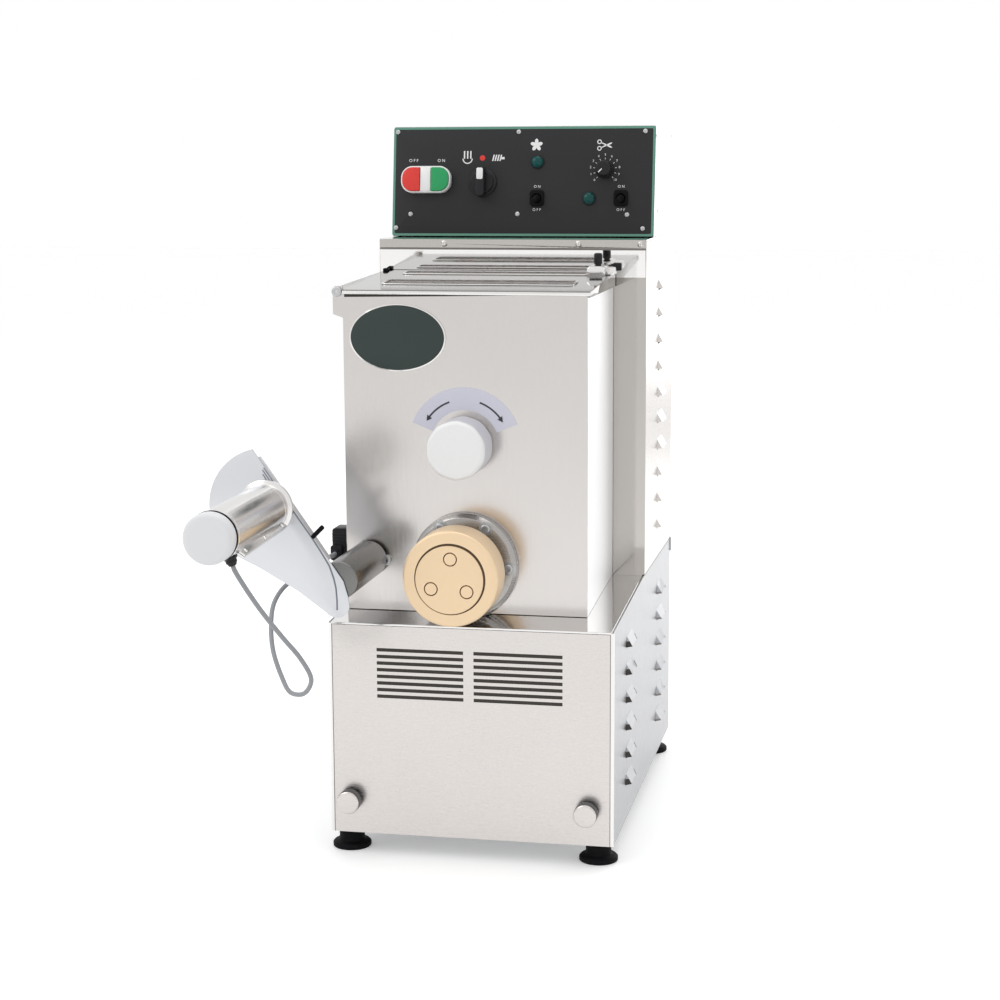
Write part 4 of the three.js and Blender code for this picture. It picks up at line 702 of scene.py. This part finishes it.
# %% Guard's painted shade lines and stud
SHADE_STRIP_WIDTH = 1.1
SHADE_STRIPS = [(0.6, 108, 21), (2.8, 108, 20), (5, 107.5, 17), (7.2, 107, 13), (9.4, 107, 9), (11.6, 108, 5)]
fold = [(81, -18.2), (65.9, -15.6), (47.5, -12.5), (31.7, -9.2), (15.9, -5.3), (4.7, 0.1), (-3.3, 5.3),
        (-11.9, 12.8), (-18.6, 19.6)]
fold_sides = [(x - 0.3, z + 0.2) for x, z in fold] + [(x + 0.5, z + 1.5) for x, z in reversed(fold)]
fold_shade_line = slab(fold_sides, -70.25, -69.9, ease=0)
ridges_and_shade_strips = []
for away, far, long in SHADE_STRIPS:
    low, high = -away, -away - SHADE_STRIP_WIDTH
    shade_strip = [beside(far, low), beside(far, high), beside(far + long, high), beside(far + long, low)]
    ridges_and_shade_strips.append(slab(shade_strip, -70.3, -69.9, ease=0))
make("guard_fold_shade", together(fold_shade_line, *ridges_and_shade_strips), "cutter_arm", "grey_fold_shade", ARM)
stud = lathe([(0, 0), (2.2, 0), (2.2, 14.6), (1.8, 15), (0, 15)], 24, "z", ease=0.2)
stud_x, stud_z = beside(50, -1)
make("guard_stud", moved(stud, turn(180, "Y"), shift(stud_x, -69, stud_z)), "cutter_arm", "black_rubber", ARM)

# %% [markdown]
# ## Gland, plug and socket
# The cord leaves the motor through a black gland and ends in a ribbed plug that points into the socket on
# the tub's left wall. The gland is turned with a slight wave for its six flats, and the motor's own round
# is cut from its foot, so that it sits on the tube.

# %% Gland
gland_profile = [(0, 20), (6.5, 20), (6.5, 24.5), (5.2, 25.5), (5.2, 28), (4.4, 29), (3.4, GLAND_END),
                 (0, GLAND_END)]
gland = lathe(gland_profile, 48, "x", ease=0.3,
              wave=lambda r, t: r * (1 + 0.05 * math.cos(6 * t)) if 6 < r < 7 else r)
gland = moved(gland, turn(-math.degrees(math.atan2(GLAND_WAY[1], GLAND_WAY[0])), "Y"),
              shift(MOTOR_X, GLAND_Y, MOTOR_Z))
gland = carve(gland, pin((MOTOR_X, MOTOR_Z), 23, -230, -170, 96))
gland = make("cord_gland", gland, "cutter_arm", "black_plastic", stands_for=["cutter_gland"])

# %% Plug and socket
PLUG_AT = (-143.5, 298)
ribs = [lathe(hoop(2.2, 3.9, y, y + 1), 24, centre=PLUG_AT, ease=0.2) for y in (40.6, 42.2)]
plug = together(lathe([(0, 40), (3.2, 40), (4.6, 44), (0, 44.5)], 32, centre=PLUG_AT, ease=0.2), *ribs,
                slab(rounded(-149, -138, 290.5, 305.5, 2.2), 43.5, 51.7, ease=0.6))
plug = make("cord_end", plug, "casing", "black_plastic", stands_for=["cord_plug"])
ridges_and_shade_strips = [slab(rounded(-149.5, -134.2, z, z + 1.2, 0.4, 2), 51.6, 52.4, ease=0) for z in (309, 312, 315)]
socket = together(slab(rounded(-149.4, -134, 287, 321.5, 3), 52, 74, ease=0.8), *ridges_and_shade_strips)
make("wall_socket", socket, "casing", "black_plastic", stands_for=["cable_socket"])

# %% [markdown]
# ## The control panel
# A black plate with a green line round its edge leans back on the control box. Each control is a piece of
# its own, so that it can be pressed, turned or tilted, and the plate has a hole for each. Sizes here are in
# the plate's own frame: X along it, Z up it.

# %% Panel plate and toggle guards
TOGGLE_SPOTS = [(16, 40.1), (105, 40.1)]
LAMP_SPOTS = [(15.7, 78.2), (71.3, 40.1)]
SELECTOR, SPEED, BUTTON_MIDDLE = (-42.5, 57), (87.5, 70.2), (-102.6, 59.4)
holes = [pin(BUTTON_MIDDLE, 11.3), pin(SELECTOR, 8.6), pin(SPEED, 3.4)]
holes += [pin(middle, 5.7) for middle in LAMP_SPOTS + TOGGLE_SPOTS]
plate = carve(slab(rounded(-140, 140, 0.6, 115.4, 2.5), 0, 2, ease=0.3), *holes)
bezel_profile = [(8.6, -4), (13.6, -4), (15, -2.4), (15, 0.2), (8.6, 0.2), (8.6, -4)]
bezel = lathe(bezel_profile, 64, centre=SELECTOR, ease=0.5)
make("panel_plate", together(plate, bezel), "casing", "panel_black", PANEL, ["control_panel"])
guards = [carve(slab(rounded(x - 7.4, x + 7.4, z - 8.2, z + 8.6, 3.4), -3.4, 0.1, ease=0.9, segments=3),
                pin((x, z), 5.2)) for x, z in TOGGLE_SPOTS]
make("toggle_guards", together(*guards), "casing", "black_rubber", PANEL)

# %% [markdown]
# ## The panel's print
# The marks are thin raised print: icons, dial figures and ON and OFF. Icons are small outlines made thick.
# Letters come from Blender's own text curve, turned into a mesh and stood up on the plate.


# %% Print helpers and border
def mark(outline, high=0.18):
    """An outline as thin print on the plate."""
    return slab(outline, -high, 0.05, ease=0)


def words(text, size, x, z):
    """Generic letters or figures as thin print on the plate."""
    curve = bpy.data.curves.new("words", "FONT")
    curve.body, curve.size, curve.extrude = text, size, 0.09
    curve.align_x, curve.align_y = "CENTER", "CENTER"
    carrier = bpy.data.objects.new("words", curve)
    bpy.context.scene.collection.objects.link(carrier)
    mesh = bpy.data.meshes.new_from_object(carrier.evaluated_get(bpy.context.evaluated_depsgraph_get()))
    bm = bmesh.new()
    bm.from_mesh(mesh)
    bpy.data.objects.remove(carrier)
    bpy.data.curves.remove(curve)
    bpy.data.meshes.remove(mesh)
    return moved(bm, turn(90, "X"), shift(x, -0.09, z))


border = slab(rounded(-139.9, 139.9, 0.7, 115.3, 2.4), -0.16, 0.05, ease=0)
inner = slab(rounded(-137.4, 137.4, 3.2, 112.8, 1.4), -1, 1, ease=0)
make("panel_border", carve(border, inner), "casing", "border_green", PANEL)

# %% Words, dial and icons
print_marks = [words("O N", 4.4, -87.8, 80), words("O F F", 4.4, -117.8, 80)]
for x, z in TOGGLE_SPOTS:
    print_marks += [words("O N", 3.9, x, z + 12.4), words("O F F", 3.9, x, z - 11.8)]
for k in range(11):
    angle = math.radians(225 - 27 * k)
    x, z = math.cos(angle), math.sin(angle)
    tick = moved(mark(rectangle(-0.25, 0.25, 10.6, 12.4)), turn(90 - math.degrees(angle), "Y"))
    print_marks.append(moved(tick, shift(SPEED[0], 0, SPEED[1])))
    print_marks.append(words(str(k), 3.4, SPEED[0] + 15.4 * x, SPEED[1] + 15.4 * z))
# A fan: five blades about a hub
for k in range(5):
    blade = mark(oval(0, 3.7, 1.9, 2.9, 20))
    print_marks.append(moved(blade, turn(72 * k, "Y"), shift(14.4, 0, 96)))
print_marks.append(mark(oval(14.4, 96, 1.1, 1.1, 16), 0.24))
# A cutter: two blades that cross, with a ring at the end of each
for side in (1, -1):
    blade = mark([(-6.5, -0.45), (4.5, -0.9), (6.5, 0), (4.5, 0.7), (-6.5, 0.45)])
    loop = lathe(hoop(1.5, 2.4, -0.18, 0.05), 24, centre=(-8.4, 0), ease=0)
    print_marks.append(moved(together(blade, loop), turn(24 * side, "Y"), shift(88.8, 0, 95.6)))
# Mixing, on the left of the selector, and extruding, on its right
for k in range(3):
    print_marks.append(mark(rectangle(-63.5 + 3.4 * k, -62.1 + 3.4 * k, 82, 90)))
print_marks.append(mark(band((-59.4, 82), 4.4, 5.5, 180, 360, 16)))
for k in range(4):
    x = 2.6 * k
    print_marks.append(mark([(-33 + x, 79.5), (-31.6 + x, 79.5), (-30 + x, 86), (-31.4 + x, 86)]))
print_marks.append(mark(rectangle(-23.6, -19.6, 81.2, 83.6)))
make("panel_print", together(*print_marks), "casing", "white_plastic", PANEL)
make("panel_red_dot", mark(oval(-43.3, 82.6, 2.9, 2.9, 32), 0.22), "casing", "red_plastic", PANEL)

# %% Panel screws
PANEL_SCREWS = [(-135.5, 110.3), (-4.9, 109.8), (129.1, 109.9), (-135.8, 9.1), (128.4, 8.8), (-120.1, 23.7),
                (-4.6, 23.8), (111.7, 23.3)]
panel_screws = copies(pan_screw(2.6, 1.4), [shift(x, 0.02, z) for x, z in PANEL_SCREWS])
make("panel_screws", panel_screws, "casing", "zinc_steel", PANEL)

# %% [markdown]
# ## The double push button
# One rim holds a red and a green button with a white lamp bar between them. The rim has a pocket for each
# button, cut with the button's own outline made a little larger, and a collar through the plate.


# %% Double push button
def half_moon(x0, x1, outer_left, more=0.0):
    """The outline of one push button: a large round on its outer side and square on its inner side."""
    big, small = 10.4 + more, 1.2
    low, high = 47.0 - more, 71.8 + more
    left, right = (big, small) if outer_left else (small, big)
    corners = [(x1 + more - right, low + right, -90, right), (x1 + more - right, high - right, 0, right),
               (x0 - more + left, high - left, 90, left), (x0 - more + left, low + left, 180, left)]
    return [(a + r * math.cos(math.radians(first + 15 * k)), b + r * math.sin(math.radians(first + 15 * k)))
            for a, b, first, r in corners for k in range(7)]


BUTTON_HALVES = [("stop_cap", -127.6, -108.6, True, "stop_push", "red_plastic", "stop_button"),
                 ("start_cap", -96.6, -77.6, False, "start_push", "green_plastic", "start_button")]
head = slab(rounded(-129.3, -75.9, 45.4, 73.4, 12, 12), -9, -0.3, ease=0.8, segments=3)
pockets = [slab(half_moon(x0, x1, left, 0.25), -12, -1.3, ease=0) for _, x0, x1, left, *_ in BUTTON_HALVES]
collar = lathe([(0, -0.6), (10.9, -0.6), (10.9, 28), (0, 28)], 48, centre=BUTTON_MIDDLE, ease=0.2)
make("button_rim", together(carve(head, *pockets), collar), "casing", "white_plastic", PANEL,
     ["button_bezel"])
bar = slab(rounded(-108, -97.2, 47.2, 71.6, 0.8, 3), -10.2, -8.6, ease=0.3)
make("button_lamp_bar", bar, "casing", "white_plastic", PANEL)
for name, x0, x1, left, body, colour, stands_for in BUTTON_HALVES:
    button = slab(half_moon(x0, x1, left), -11.3, -5, ease=0.7, segments=3)
    make(name, button, body, colour, PANEL, [stands_for])
print("double push button, 53 by 28 mm")

# %% [markdown]
# ## Selector and dial
# The selector is a black disc with a bar across it, and the dial is a turned knob with eighteen flutes. Each
# has a white mark that shows where it stands, as a piece of its own on the same body.

# %% Selector and dial
x, z = SELECTOR
handle = slab(rounded(x - 4.8, x + 4.8, z - 16, z + 15, 3.6), -17.5, -4.3, ease=1.1, segments=3)
disc_profile = [(0, -7.4), (11.6, -7.4), (12.5, -6.4), (12.5, -4.3), (0, -4.3)]
disc = lathe(disc_profile, 56, centre=SELECTOR, ease=0.4)
make("selector_handle", together(handle, disc, pin(SELECTOR, 8.2, -5, 14)), "selector", "black_plastic",
     PANEL, ["selector_knob"])
pointer = slab(rounded(x - 3.4, x + 3.4, z + 1.5, z + 13.4, 1.6, 4), -18, -17.2, ease=0.25)
make("selector_pointer", pointer, "selector", "white_plastic", PANEL)

x, z = SPEED
dial_profile = [(0, -16), (7, -16), (8, -15), (8.4, -5), (9.5, -4), (9.5, -0.8), (3, -0.8), (3, 12), (0, 12)]
grip = lathe(dial_profile, 72, centre=SPEED, ease=0.5,
             wave=lambda r, t: r * (1 + 0.035 * math.cos(18 * t)) if 7.5 < r < 9 else r)
make("dial_grip", grip, "speed_dial", "black_plastic", PANEL, ["speed_knob"])
line = slab(rectangle(x - 0.5, x + 0.5, z + 1.5, z + 6.6), -16.3, -15.8, ease=0)
line = moved(line, shift(-x, 0, -z), turn(-135, "Y"), shift(x, 0, z))
make("dial_pointer", line, "speed_dial", "white_plastic", PANEL)

# %% [markdown]
# ## Lamps and toggles
# Each lamp is a teal dome in a thin black ring. Each toggle stands in a soft black boot with a few folds:
# the folds are steps in a turned profile, and the boot leans with its lever.

# %% Lamps
dome_profile = [(0, -5.4), (2.6, -5.1), (4.9, -4.1), (6.2, -2.6), (6.2, -1), (5, -0.8), (5, 20), (0, 20)]
ring_profile = [(6.25, -1.6), (6.9, -1.6), (7.3, -1.1), (7.3, -0.02), (6.25, -0.02), (6.25, -1.6)]
for middle, node in zip(LAMP_SPOTS, ("fan_lamp", "cutter_lamp")):
    dome = lathe(dome_profile, 48, centre=middle, ease=0.5)
    make(node + "_dome", dome, "casing", "teal_lens", PANEL, [node])
    ring = lathe(ring_profile, 48, centre=middle, ease=0.2)
    make(node + "_ring", ring, "casing", "black_plastic", PANEL)

# %% Toggles
TOGGLE_LEAN = 12
boot_profile = [(0, -17.6), (1.9, -17.4), (2.9, -16.4), (2.9, -13), (2.1, -9.4), (2.7, -8.6), (2.7, -7.6),
                (3.2, -6.8), (3.2, -5.8), (3.9, -4.8), (4.2, -2.6), (4.2, 1.5), (3, 3.4), (0, 4.2)]
for (x, z), job in zip(TOGGLE_SPOTS, ("fan", "cutter")):
    lever = moved(lathe(boot_profile, 40, ease=0.5), turn(TOGGLE_LEAN, "X"), shift(x, -1.5, z))
    make(job + "_toggle_boot", lever, job + "_switch", "black_rubber", PANEL, [job + "_toggle"])

# %% [markdown]
# ## Feet, knurled screws and the arm's spindle
# The feet are turned rubber with a wide flange, and each stands on its own flat. The two screws that hold
# the front panel have a smooth face and a dark knurled side: the knurl is a wave in the lathe's radius. The
# spindle has a hexagon socket in its front end.

# %% Feet
FEET = [("front_left", -126, 24), ("front_right", 122, 24), ("rear_left", -121, 413),
        ("rear_right", 122, 413)]
foot_profile = [(0, 6.5), (18.2, 6.5), (19, 7.4), (19, 10.8), (17.3, 12.5), (13, 13.3), (12.5, 14.6),
                (12.5, 27.7), (0, 27.7)]
for corner, x, y in FEET:
    make("rubber_foot_" + corner, lathe(foot_profile, 64, "z", (x, y), ease=0.5), "casing", "black_rubber",
         stands_for=["foot_" + corner])

# %% Thumb screws and spindle
THUMB_Z = 62
thumb_face = [(0, -16.3), (9.8, -16.3), (11.1, -15.5), (11.1, -14.6), (0, -14.6)]
thumb_side = [(0, -14.8), (11.5, -14.8), (11.5, -5.2), (10.4, -4), (7, -3.6), (7, -0.3), (3, -0.3), (3, 11),
              (0, 11)]
for side, x in (("left", -119.5), ("right", 114.5)):
    knurl = lathe(thumb_side, 144, centre=(x, THUMB_Z), ease=0.3,
                  wave=lambda r, t: r * (1 - 0.035 * (0.5 + 0.5 * math.cos(48 * t))) if r > 10.6 else r)
    make("thumb_grip_" + side, knurl, side + "_thumb_screw", "knurl_steel",
         stands_for=["thumb_knob_" + side])
    make("thumb_face_" + side, lathe(thumb_face, 64, centre=(x, THUMB_Z), ease=0.4), side + "_thumb_screw",
         "satin_steel")
spindle_profile = [(0, -41), (7, -41), (8, -40), (8, 43), (11, 43), (11.5, 44), (11.5, 48.5), (0, 48.5)]
spindle = carve(lathe(spindle_profile, 64, centre=ARM_PIVOT, ease=0.3), pin(ARM_PIVOT, 3.4, -50, -37, 6))
make("arm_spindle", spindle, "casing", "bright_steel", stands_for=["hinge_spindle"])

# %% [markdown]
# ## The lid
# The lid is one folded sheet that falls a little to the front, with two long slots for flour and water. The
# CAD lid is level, so this one replaces it: the sheet is made flat, its slots are cut, and then every point
# is lifted by its distance behind the front edge. The left edge is rolled round the hinge rod.


# %% Lid sheet and hinge roll
LID_FRONT, LID_FALL = 46.3, 0.0555
LID_LEFT, LID_RIGHT, LID_BACK = -133.3, 108.6, 214
LID_ROD, ROLL_ENDS = (-139, 555), (51.5, 212)
SLOTS = [(106, 16), (186.5, 9.5)]


def leaning(bm):
    """Lifts each point by its distance behind the lid's front edge."""
    for vert in bm.verts:
        vert.co.z += LID_FALL * (vert.co.y - LID_FRONT)
    return bm


slot_holes = [slab(rounded(-104, 84, y - half, y + half, 3), 540, 600, "z", ease=0) for y, half in SLOTS]
sheet = slab(rectangle(LID_LEFT, LID_RIGHT, 46.6, LID_BACK), 556.1, 557, "z", ease=0)
rims = [slab(rounded(-106, 86, y - half - 2, y + half + 2, 5), 557, 558.4, "z", ease=0.4)
        for y, half in SLOTS]
rims = leaning(carve(together(*rims), *[hole.copy() for hole in slot_holes]))
sheet = leaning(carve(sheet, *slot_holes))
skirt = slab([(46.6, 551), (213.8, 551), (213.8, 565.6), (46.6, 556.4)], 107.4, LID_RIGHT, "x", ease=0.2)
shoulder = [(47.4, 555.8), (46, 555.8), (46, 556.3), (46.4, 556.9), (47.4, 557)]
shoulder = slab(shoulder, LID_LEFT, LID_RIGHT, "x", ease=0)
roll = lathe(hoop(3.7, 4.5, *ROLL_ENDS), 40, centre=LID_ROD, ease=0)
web = slab(rectangle(-139.4, -132.9, *ROLL_ENDS), 558.5, 559.4, "z", ease=0)
for vert in web.verts:
    if vert.co.x > -135:
        vert.co.z += LID_FALL * (vert.co.y - LID_FRONT) - 2.4
# The lid's steel is a darker copy of the casing's: painted shade.
make("lid_sheet", together(sheet, skirt, shoulder, roll, web), "lid_assembly", "shaded_lid_steel",
     stands_for=["lid"])

# %% [markdown]
# ## Slots, grate and lip
# Each slot has a raised bright rim, and a grate of thin bars lies under it to keep fingers out. The front
# edge is a round bright lip. The dark strip on the tub below it stands for the lid's own shadow line, and it
# moves with the lid.

# %% Slot rims, grate, lip and shadow line
BAR_PITCH, BAR_HALF = 4, 0.6
make("lid_rims", rims, "lid_assembly", "bright_steel")
bars = []
for middle, half in SLOTS:
    count = round(2 * half / BAR_PITCH)
    for k in range(count):
        y = middle - half + (k + 0.5) * 2 * half / count
        bars.append(slab(rectangle(y - BAR_HALF, y + BAR_HALF, 554.4, 556.9), -105, 85, "x", ease=0))
make("lid_grate", leaning(together(*bars)), "lid_assembly", "satin_steel")
lip = [(47.4, 552.7), (46.1, 552.7), (45.6, 553.3), (45.5, 554.6), (45.7, 555.6), (46.3, 556.1),
       (47.4, 556.1)]
make("lid_lip", slab(lip, -133.4, 108.7, "x", ease=0), "lid_assembly", "bright_steel", sharp=60)
shade = [(-132, 549.8), (-40, 551.2), (60, 552.9), (60, 553.6), (-132, 553.6)]
make("tub_shade", slab(shade, 48.45, 48.75, ease=0), "lid_assembly", "dark_shade")

# %% [markdown]
# ## Lid trim
# A steel bracket on the lid carries a small black knob and a keeper, which a thin black magnet on the tower
# holds. A rubber buffer lies at the back corner, and a bright strip leans on the tower above the lid. Two
# capped pins end the hinge rod and the arm's rod.

# %% Knob, bracket, keeper, magnet and buffer
knob_side = [(0, 572.3), (3, 572.3), (3, 574.5), (4.2, 575.5), (4.2, 585), (3.2, 586.3), (0, 586.3)]
make("lid_grip", lathe(knob_side, 48, "z", (95, 187), ease=0.5), "lid_assembly", "black_plastic",
     stands_for=["lid_knob"])
holder = [(85.6, 563.6), (104, 563.6), (104, 572), (101, 574), (89, 574), (85.6, 571)]
holder = carve(slab(holder, 172, 204, ease=0.7), slab(rectangle(88.5, 101.5, 560, 568.5), 160, 201, ease=0))
keeper = slab(rounded(103.2, 112.6, 564.6, 572.4, 1.4, 3), 179.7, 196.3, ease=0.6)
keeper = carve(keeper, pin((108, 568.6), 2.4, 175, 186, 24))
make("lid_bracket", together(holder, keeper), "lid_assembly", "bright_steel")
magnet = slab(rounded(105.6, 114.6, 567, 574.8, 1.2, 3), 214.6, 217.5, ease=0.5)
make("lid_magnet", magnet, "casing", "black_plastic")
buffer = slab(rounded(-133.4, -128, 565.4, 568.6, 1.2, 3), 204.5, 212.5, ease=0.6)
make("lid_buffer", buffer, "lid_assembly", "black_rubber")

# %% Splash strip and pins
ARM_ROD = (-93, 292)
splash = [(217.3, 560), (217.72, 560), (216.3, 587.6), (215.9, 587.6)]
make("splash_strip", slab(splash, -139.2, 139.2, "x", ease=0), "casing", "splash_steel")
rod_caps = [([(0, 45.2), (4.4, 45.2), (4.9, 45.8), (4.9, 48.7), (0, 48.7)], LID_ROD),
            ([(0, 44.9), (4.5, 44.9), (5, 45.5), (5, 48.7), (0, 48.7)], ARM_ROD)]
pins = [carve(lathe(profile, 40, centre=centre, ease=0.3), pin(centre, 2.1, 40, 46.6, 6))
        for profile, centre in rod_caps]
make("tub_pins", together(*pins), "casing", "zinc_steel")

# %% [markdown]
# ## Sheet screws
# Small pan screws hold the ledge, the box and the back. One screw is made with its cross recess and then
# repeated at each place. The two on the box's side are plain, because the camera sees them at a slant.

# %% Sheet screws
ledge_screws = copies(pan_screw(3.3, 1.5), [shift(x, 217.7, 593.6) for x in (-71, 70, 134)])
to_the_right = turn(90, "Z") @ shift(0, -140, 0)
box_screws = copies(pan_screw(2.6, 1.2, False), [to_the_right @ shift(y, 0, 703) for y in (290, 425)])
to_the_back = turn(180, "Z")
spots = [(x, z) for x in (-128, 128) for z in (45, 235, 420, 580)]
back_screws = copies(pan_screw(3.2, 1.6), [shift(x, 437.4, z) @ to_the_back for x, z in spots])
make("sheet_screws", together(ledge_screws, box_screws, back_screws), "casing", "bright_steel")

# %% [markdown]
# ## Gaps, latch, seams and corners
# Where two sheets meet, behind each slot of the grille and under the ledge's lip, the real machine is dark
# with shade. Thin dark strips are painted shade for these darks. A small latch sits on the base's rear edge.
# The base's two front corners are bent, and a narrow bright bead along each is a painted highlight of the
# bend.

# %% Painted shade in the grille, seams and ledge, latch, and corner highlights
GAP_HALF, GAP_PITCH, TOP_GAP = 1.65, 6.6, 213
grille_shades = [slab(rectangle(x0, x1, z - GAP_HALF, z + GAP_HALF), 0.3, 1.2, ease=0)
        for z in [TOP_GAP - GAP_PITCH * row for row in range(8)] for x0, x1 in ((-92, -6.3), (3.8, 90.5))]
make("grille_shade", together(*grille_shades), "casing", "dark_shade")
latch = slab(rounded(436, 440.4, 236, 252, 1.2, 3), 139.6, 141.4, "x", ease=0.4)
make("rear_latch", latch, "casing", "zinc_steel")
seam_shades = [slab(rectangle(side * 136.2, side * 136.9, 28, 236.5), -0.05, 0.2, ease=0) for side in (1, -1)]
seam_shades += [slab(rectangle(219, 437, 250.5, 251.5), *sorted((side * 139, side * 140.1)), "x", ease=0)
          for side in (1, -1)]
make("seam_shade", together(*seam_shades), "casing", "soft_shade")
under_ledge = slab(rectangle(-139.6, 139.6, 587.7, 589.05), 217.3, 217.9, ease=0)
make("ledge_shade", under_ledge, "casing", "soft_shade")
# The bright beads are a painted highlight of the bent corners.
beads_and_highlights = []
for side in (1, -1):
    bead_and_highlight = [(side * 137, -0.25), (side * 139.4, -0.2), (side * 140.05, 0.3), (side * 140.15, 1),
            (side * 140.15, 2.2), (side * 139.5, 2.2), (side * 137, 0.3)]
    beads_and_highlights.append(slab(bead_and_highlight, 28.2, 238, "z", ease=0))
make("corner_highlights", together(*beads_and_highlights), "casing", "bright_steel", sharp=60)

# %% [markdown]
# ## The ends of the louvres
# A louvre is pressed out of its sheet like a small hood. Its two slanted ends lie in the shade, darker in
# the front column than in the rear one, so a thin dark plate on each end is painted shade.


# %% Painted shade on the louvres' ends
def wedge(corners, thickness):
    """A thin plate on four points, as thick on either side of them."""
    bm = bmesh.new()
    across = (corners[1] - corners[0]).cross(corners[3] - corners[0]).normalized() * thickness
    rings = [[bm.verts.new(corner + way * across) for corner in corners] for way in (-1, 1)]
    bm.faces.new(rings[0])
    bm.faces.new(list(reversed(rings[1])))
    for k in range(4):
        bm.faces.new((rings[0][k], rings[0][k - 1], rings[1][k - 1], rings[1][k]))
    bmesh.ops.recalc_face_normals(bm, faces=bm.faces)
    return bm


COLUMNS = [("louvre_front_shades", "dark_shade", 104.5, 205.4, 28.1, 0.5),
           ("louvre_shades", "soft_shade", 340, 210, 28.6, 0.82)]
for name, colour, y, top_row, pitch, share in COLUMNS:
    shade_plates = []
    for z in [top_row - row * pitch for row in range(6)]:
        for side, end in ((1, 1), (1, -1), (-1, 1), (-1, -1)):
            corners = [Vector((side * 140, y + end * 22, z)), Vector((side * 145.5, y + end * 17, z)),
                       Vector((side * 140, y + end * 18, z + 11))]
            top = [corners[2].lerp(corner, share) for corner in corners[:2]]
            shade_plates.append(wedge([corners[0], corners[1], top[1], top[0]], 0.2))
    make(name, together(*shade_plates), "casing", colour)

# %% [markdown]
# ## Plugs in the box
# The box's right side has three round holes, and a black plug closes each. A plug is a short turned disc.

# %% Box plugs
plugs = [lathe([(0, 137.6), (2.9, 137.6), (2.9, 139.8), (0, 139.8)], 24, "x", (y, 625), ease=0.2)
         for y in (304, 360, 420)]
make("box_plugs", together(*plugs), "casing", "black_plastic")

# %% [markdown]

# %% [markdown]
# ## The studio
# The machine stands on a plain pale floor in a white room. Light Path tells the floor and the world which
# rays only look at them: the camera's, and those that come off metal or through a lens. For those rays the
# room is white, so polished steel mirrors a white room, and the lamps can stay at a plain level.


# %% Rays that look at the room
def looking(tree):
    """Gives 1 for camera, glossy and transmission rays and 0 for the rays that carry light."""
    path = tree.nodes.new("ShaderNodeLightPath")
    kinds = [path.outputs[kind] for kind in ("Is Camera Ray", "Is Glossy Ray", "Is Transmission Ray")]
    looks = kinds[0]
    for kind in kinds[1:]:
        either = tree.nodes.new("ShaderNodeMath")
        either.operation = "MAXIMUM"
        tree.links.new(looks, either.inputs[0])
        tree.links.new(kind, either.inputs[1])
        looks = either.outputs[0]
    return looks


def levels(tree, carried, looked_at, socket):
    """Sets a strength: one level for the rays that carry light, another for those that look."""
    level = tree.nodes.new("ShaderNodeMapRange")
    level.inputs["To Min"].default_value = carried
    level.inputs["To Max"].default_value = looked_at
    tree.links.new(looking(tree), level.inputs["Value"])
    tree.links.new(level.outputs["Result"], socket)


# %% [markdown]
# ## Floor and surround
# The floor is one large flat square. It glows a little for the rays that look at it, so that it runs into
# the white of the room almost without an edge, and the machine's shadow still falls on it.

# %% Floor and surround
bpy.context.scene.view_settings.view_transform = "Standard"
floor_material = bpy.data.materials.new("floor")
floor_material.use_nodes = True
floor_shader = floor_material.node_tree.nodes["Principled BSDF"]
floor_shader.inputs["Base Color"].default_value = (0.93, 0.93, 0.93, 1)
floor_shader.inputs["Roughness"].default_value = 0.6
floor_shader.inputs["Emission Color"].default_value = (1, 1, 1, 1)
levels(floor_material.node_tree, 0.0, 0.25, floor_shader.inputs["Emission Strength"])
bm = bmesh.new()
bmesh.ops.create_grid(bm, x_segments=1, y_segments=1, size=12)
floor_mesh = bpy.data.meshes.new("floor")
bm.to_mesh(floor_mesh)
bm.free()
floor_mesh.materials.append(floor_material)
floor = bpy.data.objects.new("floor", floor_mesh)
bpy.context.scene.collection.objects.link(floor)

world = bpy.data.worlds.new("studio")
bpy.context.scene.world = world
world.use_nodes = True
background = world.node_tree.nodes["Background"]
background.inputs["Color"].default_value = (1, 1, 1, 1)
levels(world.node_tree, 0.75, 1.0, background.inputs["Strength"])
print("floor and surround set")

# %% [markdown]
# ## Lamps
# Three large soft lamps light the machine: one from the front left, one from above, and one from behind on
# the right. Large lamps give soft shadows and long soft lights along the bent edges.


# %% Three lamps
def lamp(name, place, aim, width, height, power):
    """A rectangular lamp that faces the point aim."""
    data = bpy.data.lights.new(name, "AREA")
    data.shape = "RECTANGLE"
    data.size, data.size_y = width, height
    data.energy = power
    light = bpy.data.objects.new(name, data)
    bpy.context.scene.collection.objects.link(light)
    light.location = place
    light.rotation_euler = (Vector(aim) - Vector(place)).to_track_quat("-Z", "Y").to_euler()


lamp("key_lamp", (-1.8, -1.6, 2.3), (0, 0, 0.3), 1.6, 1.6, 19)
lamp("top_lamp", (0.2, 0.2, 2.6), (0, 0, 0.4), 2.0, 2.0, 15)
lamp("side_lamp", (1.0, 2.2, 1.1), (0.15, 0.1, 0.4), 2.4, 1.9, 19)
print("3 soft lamps")
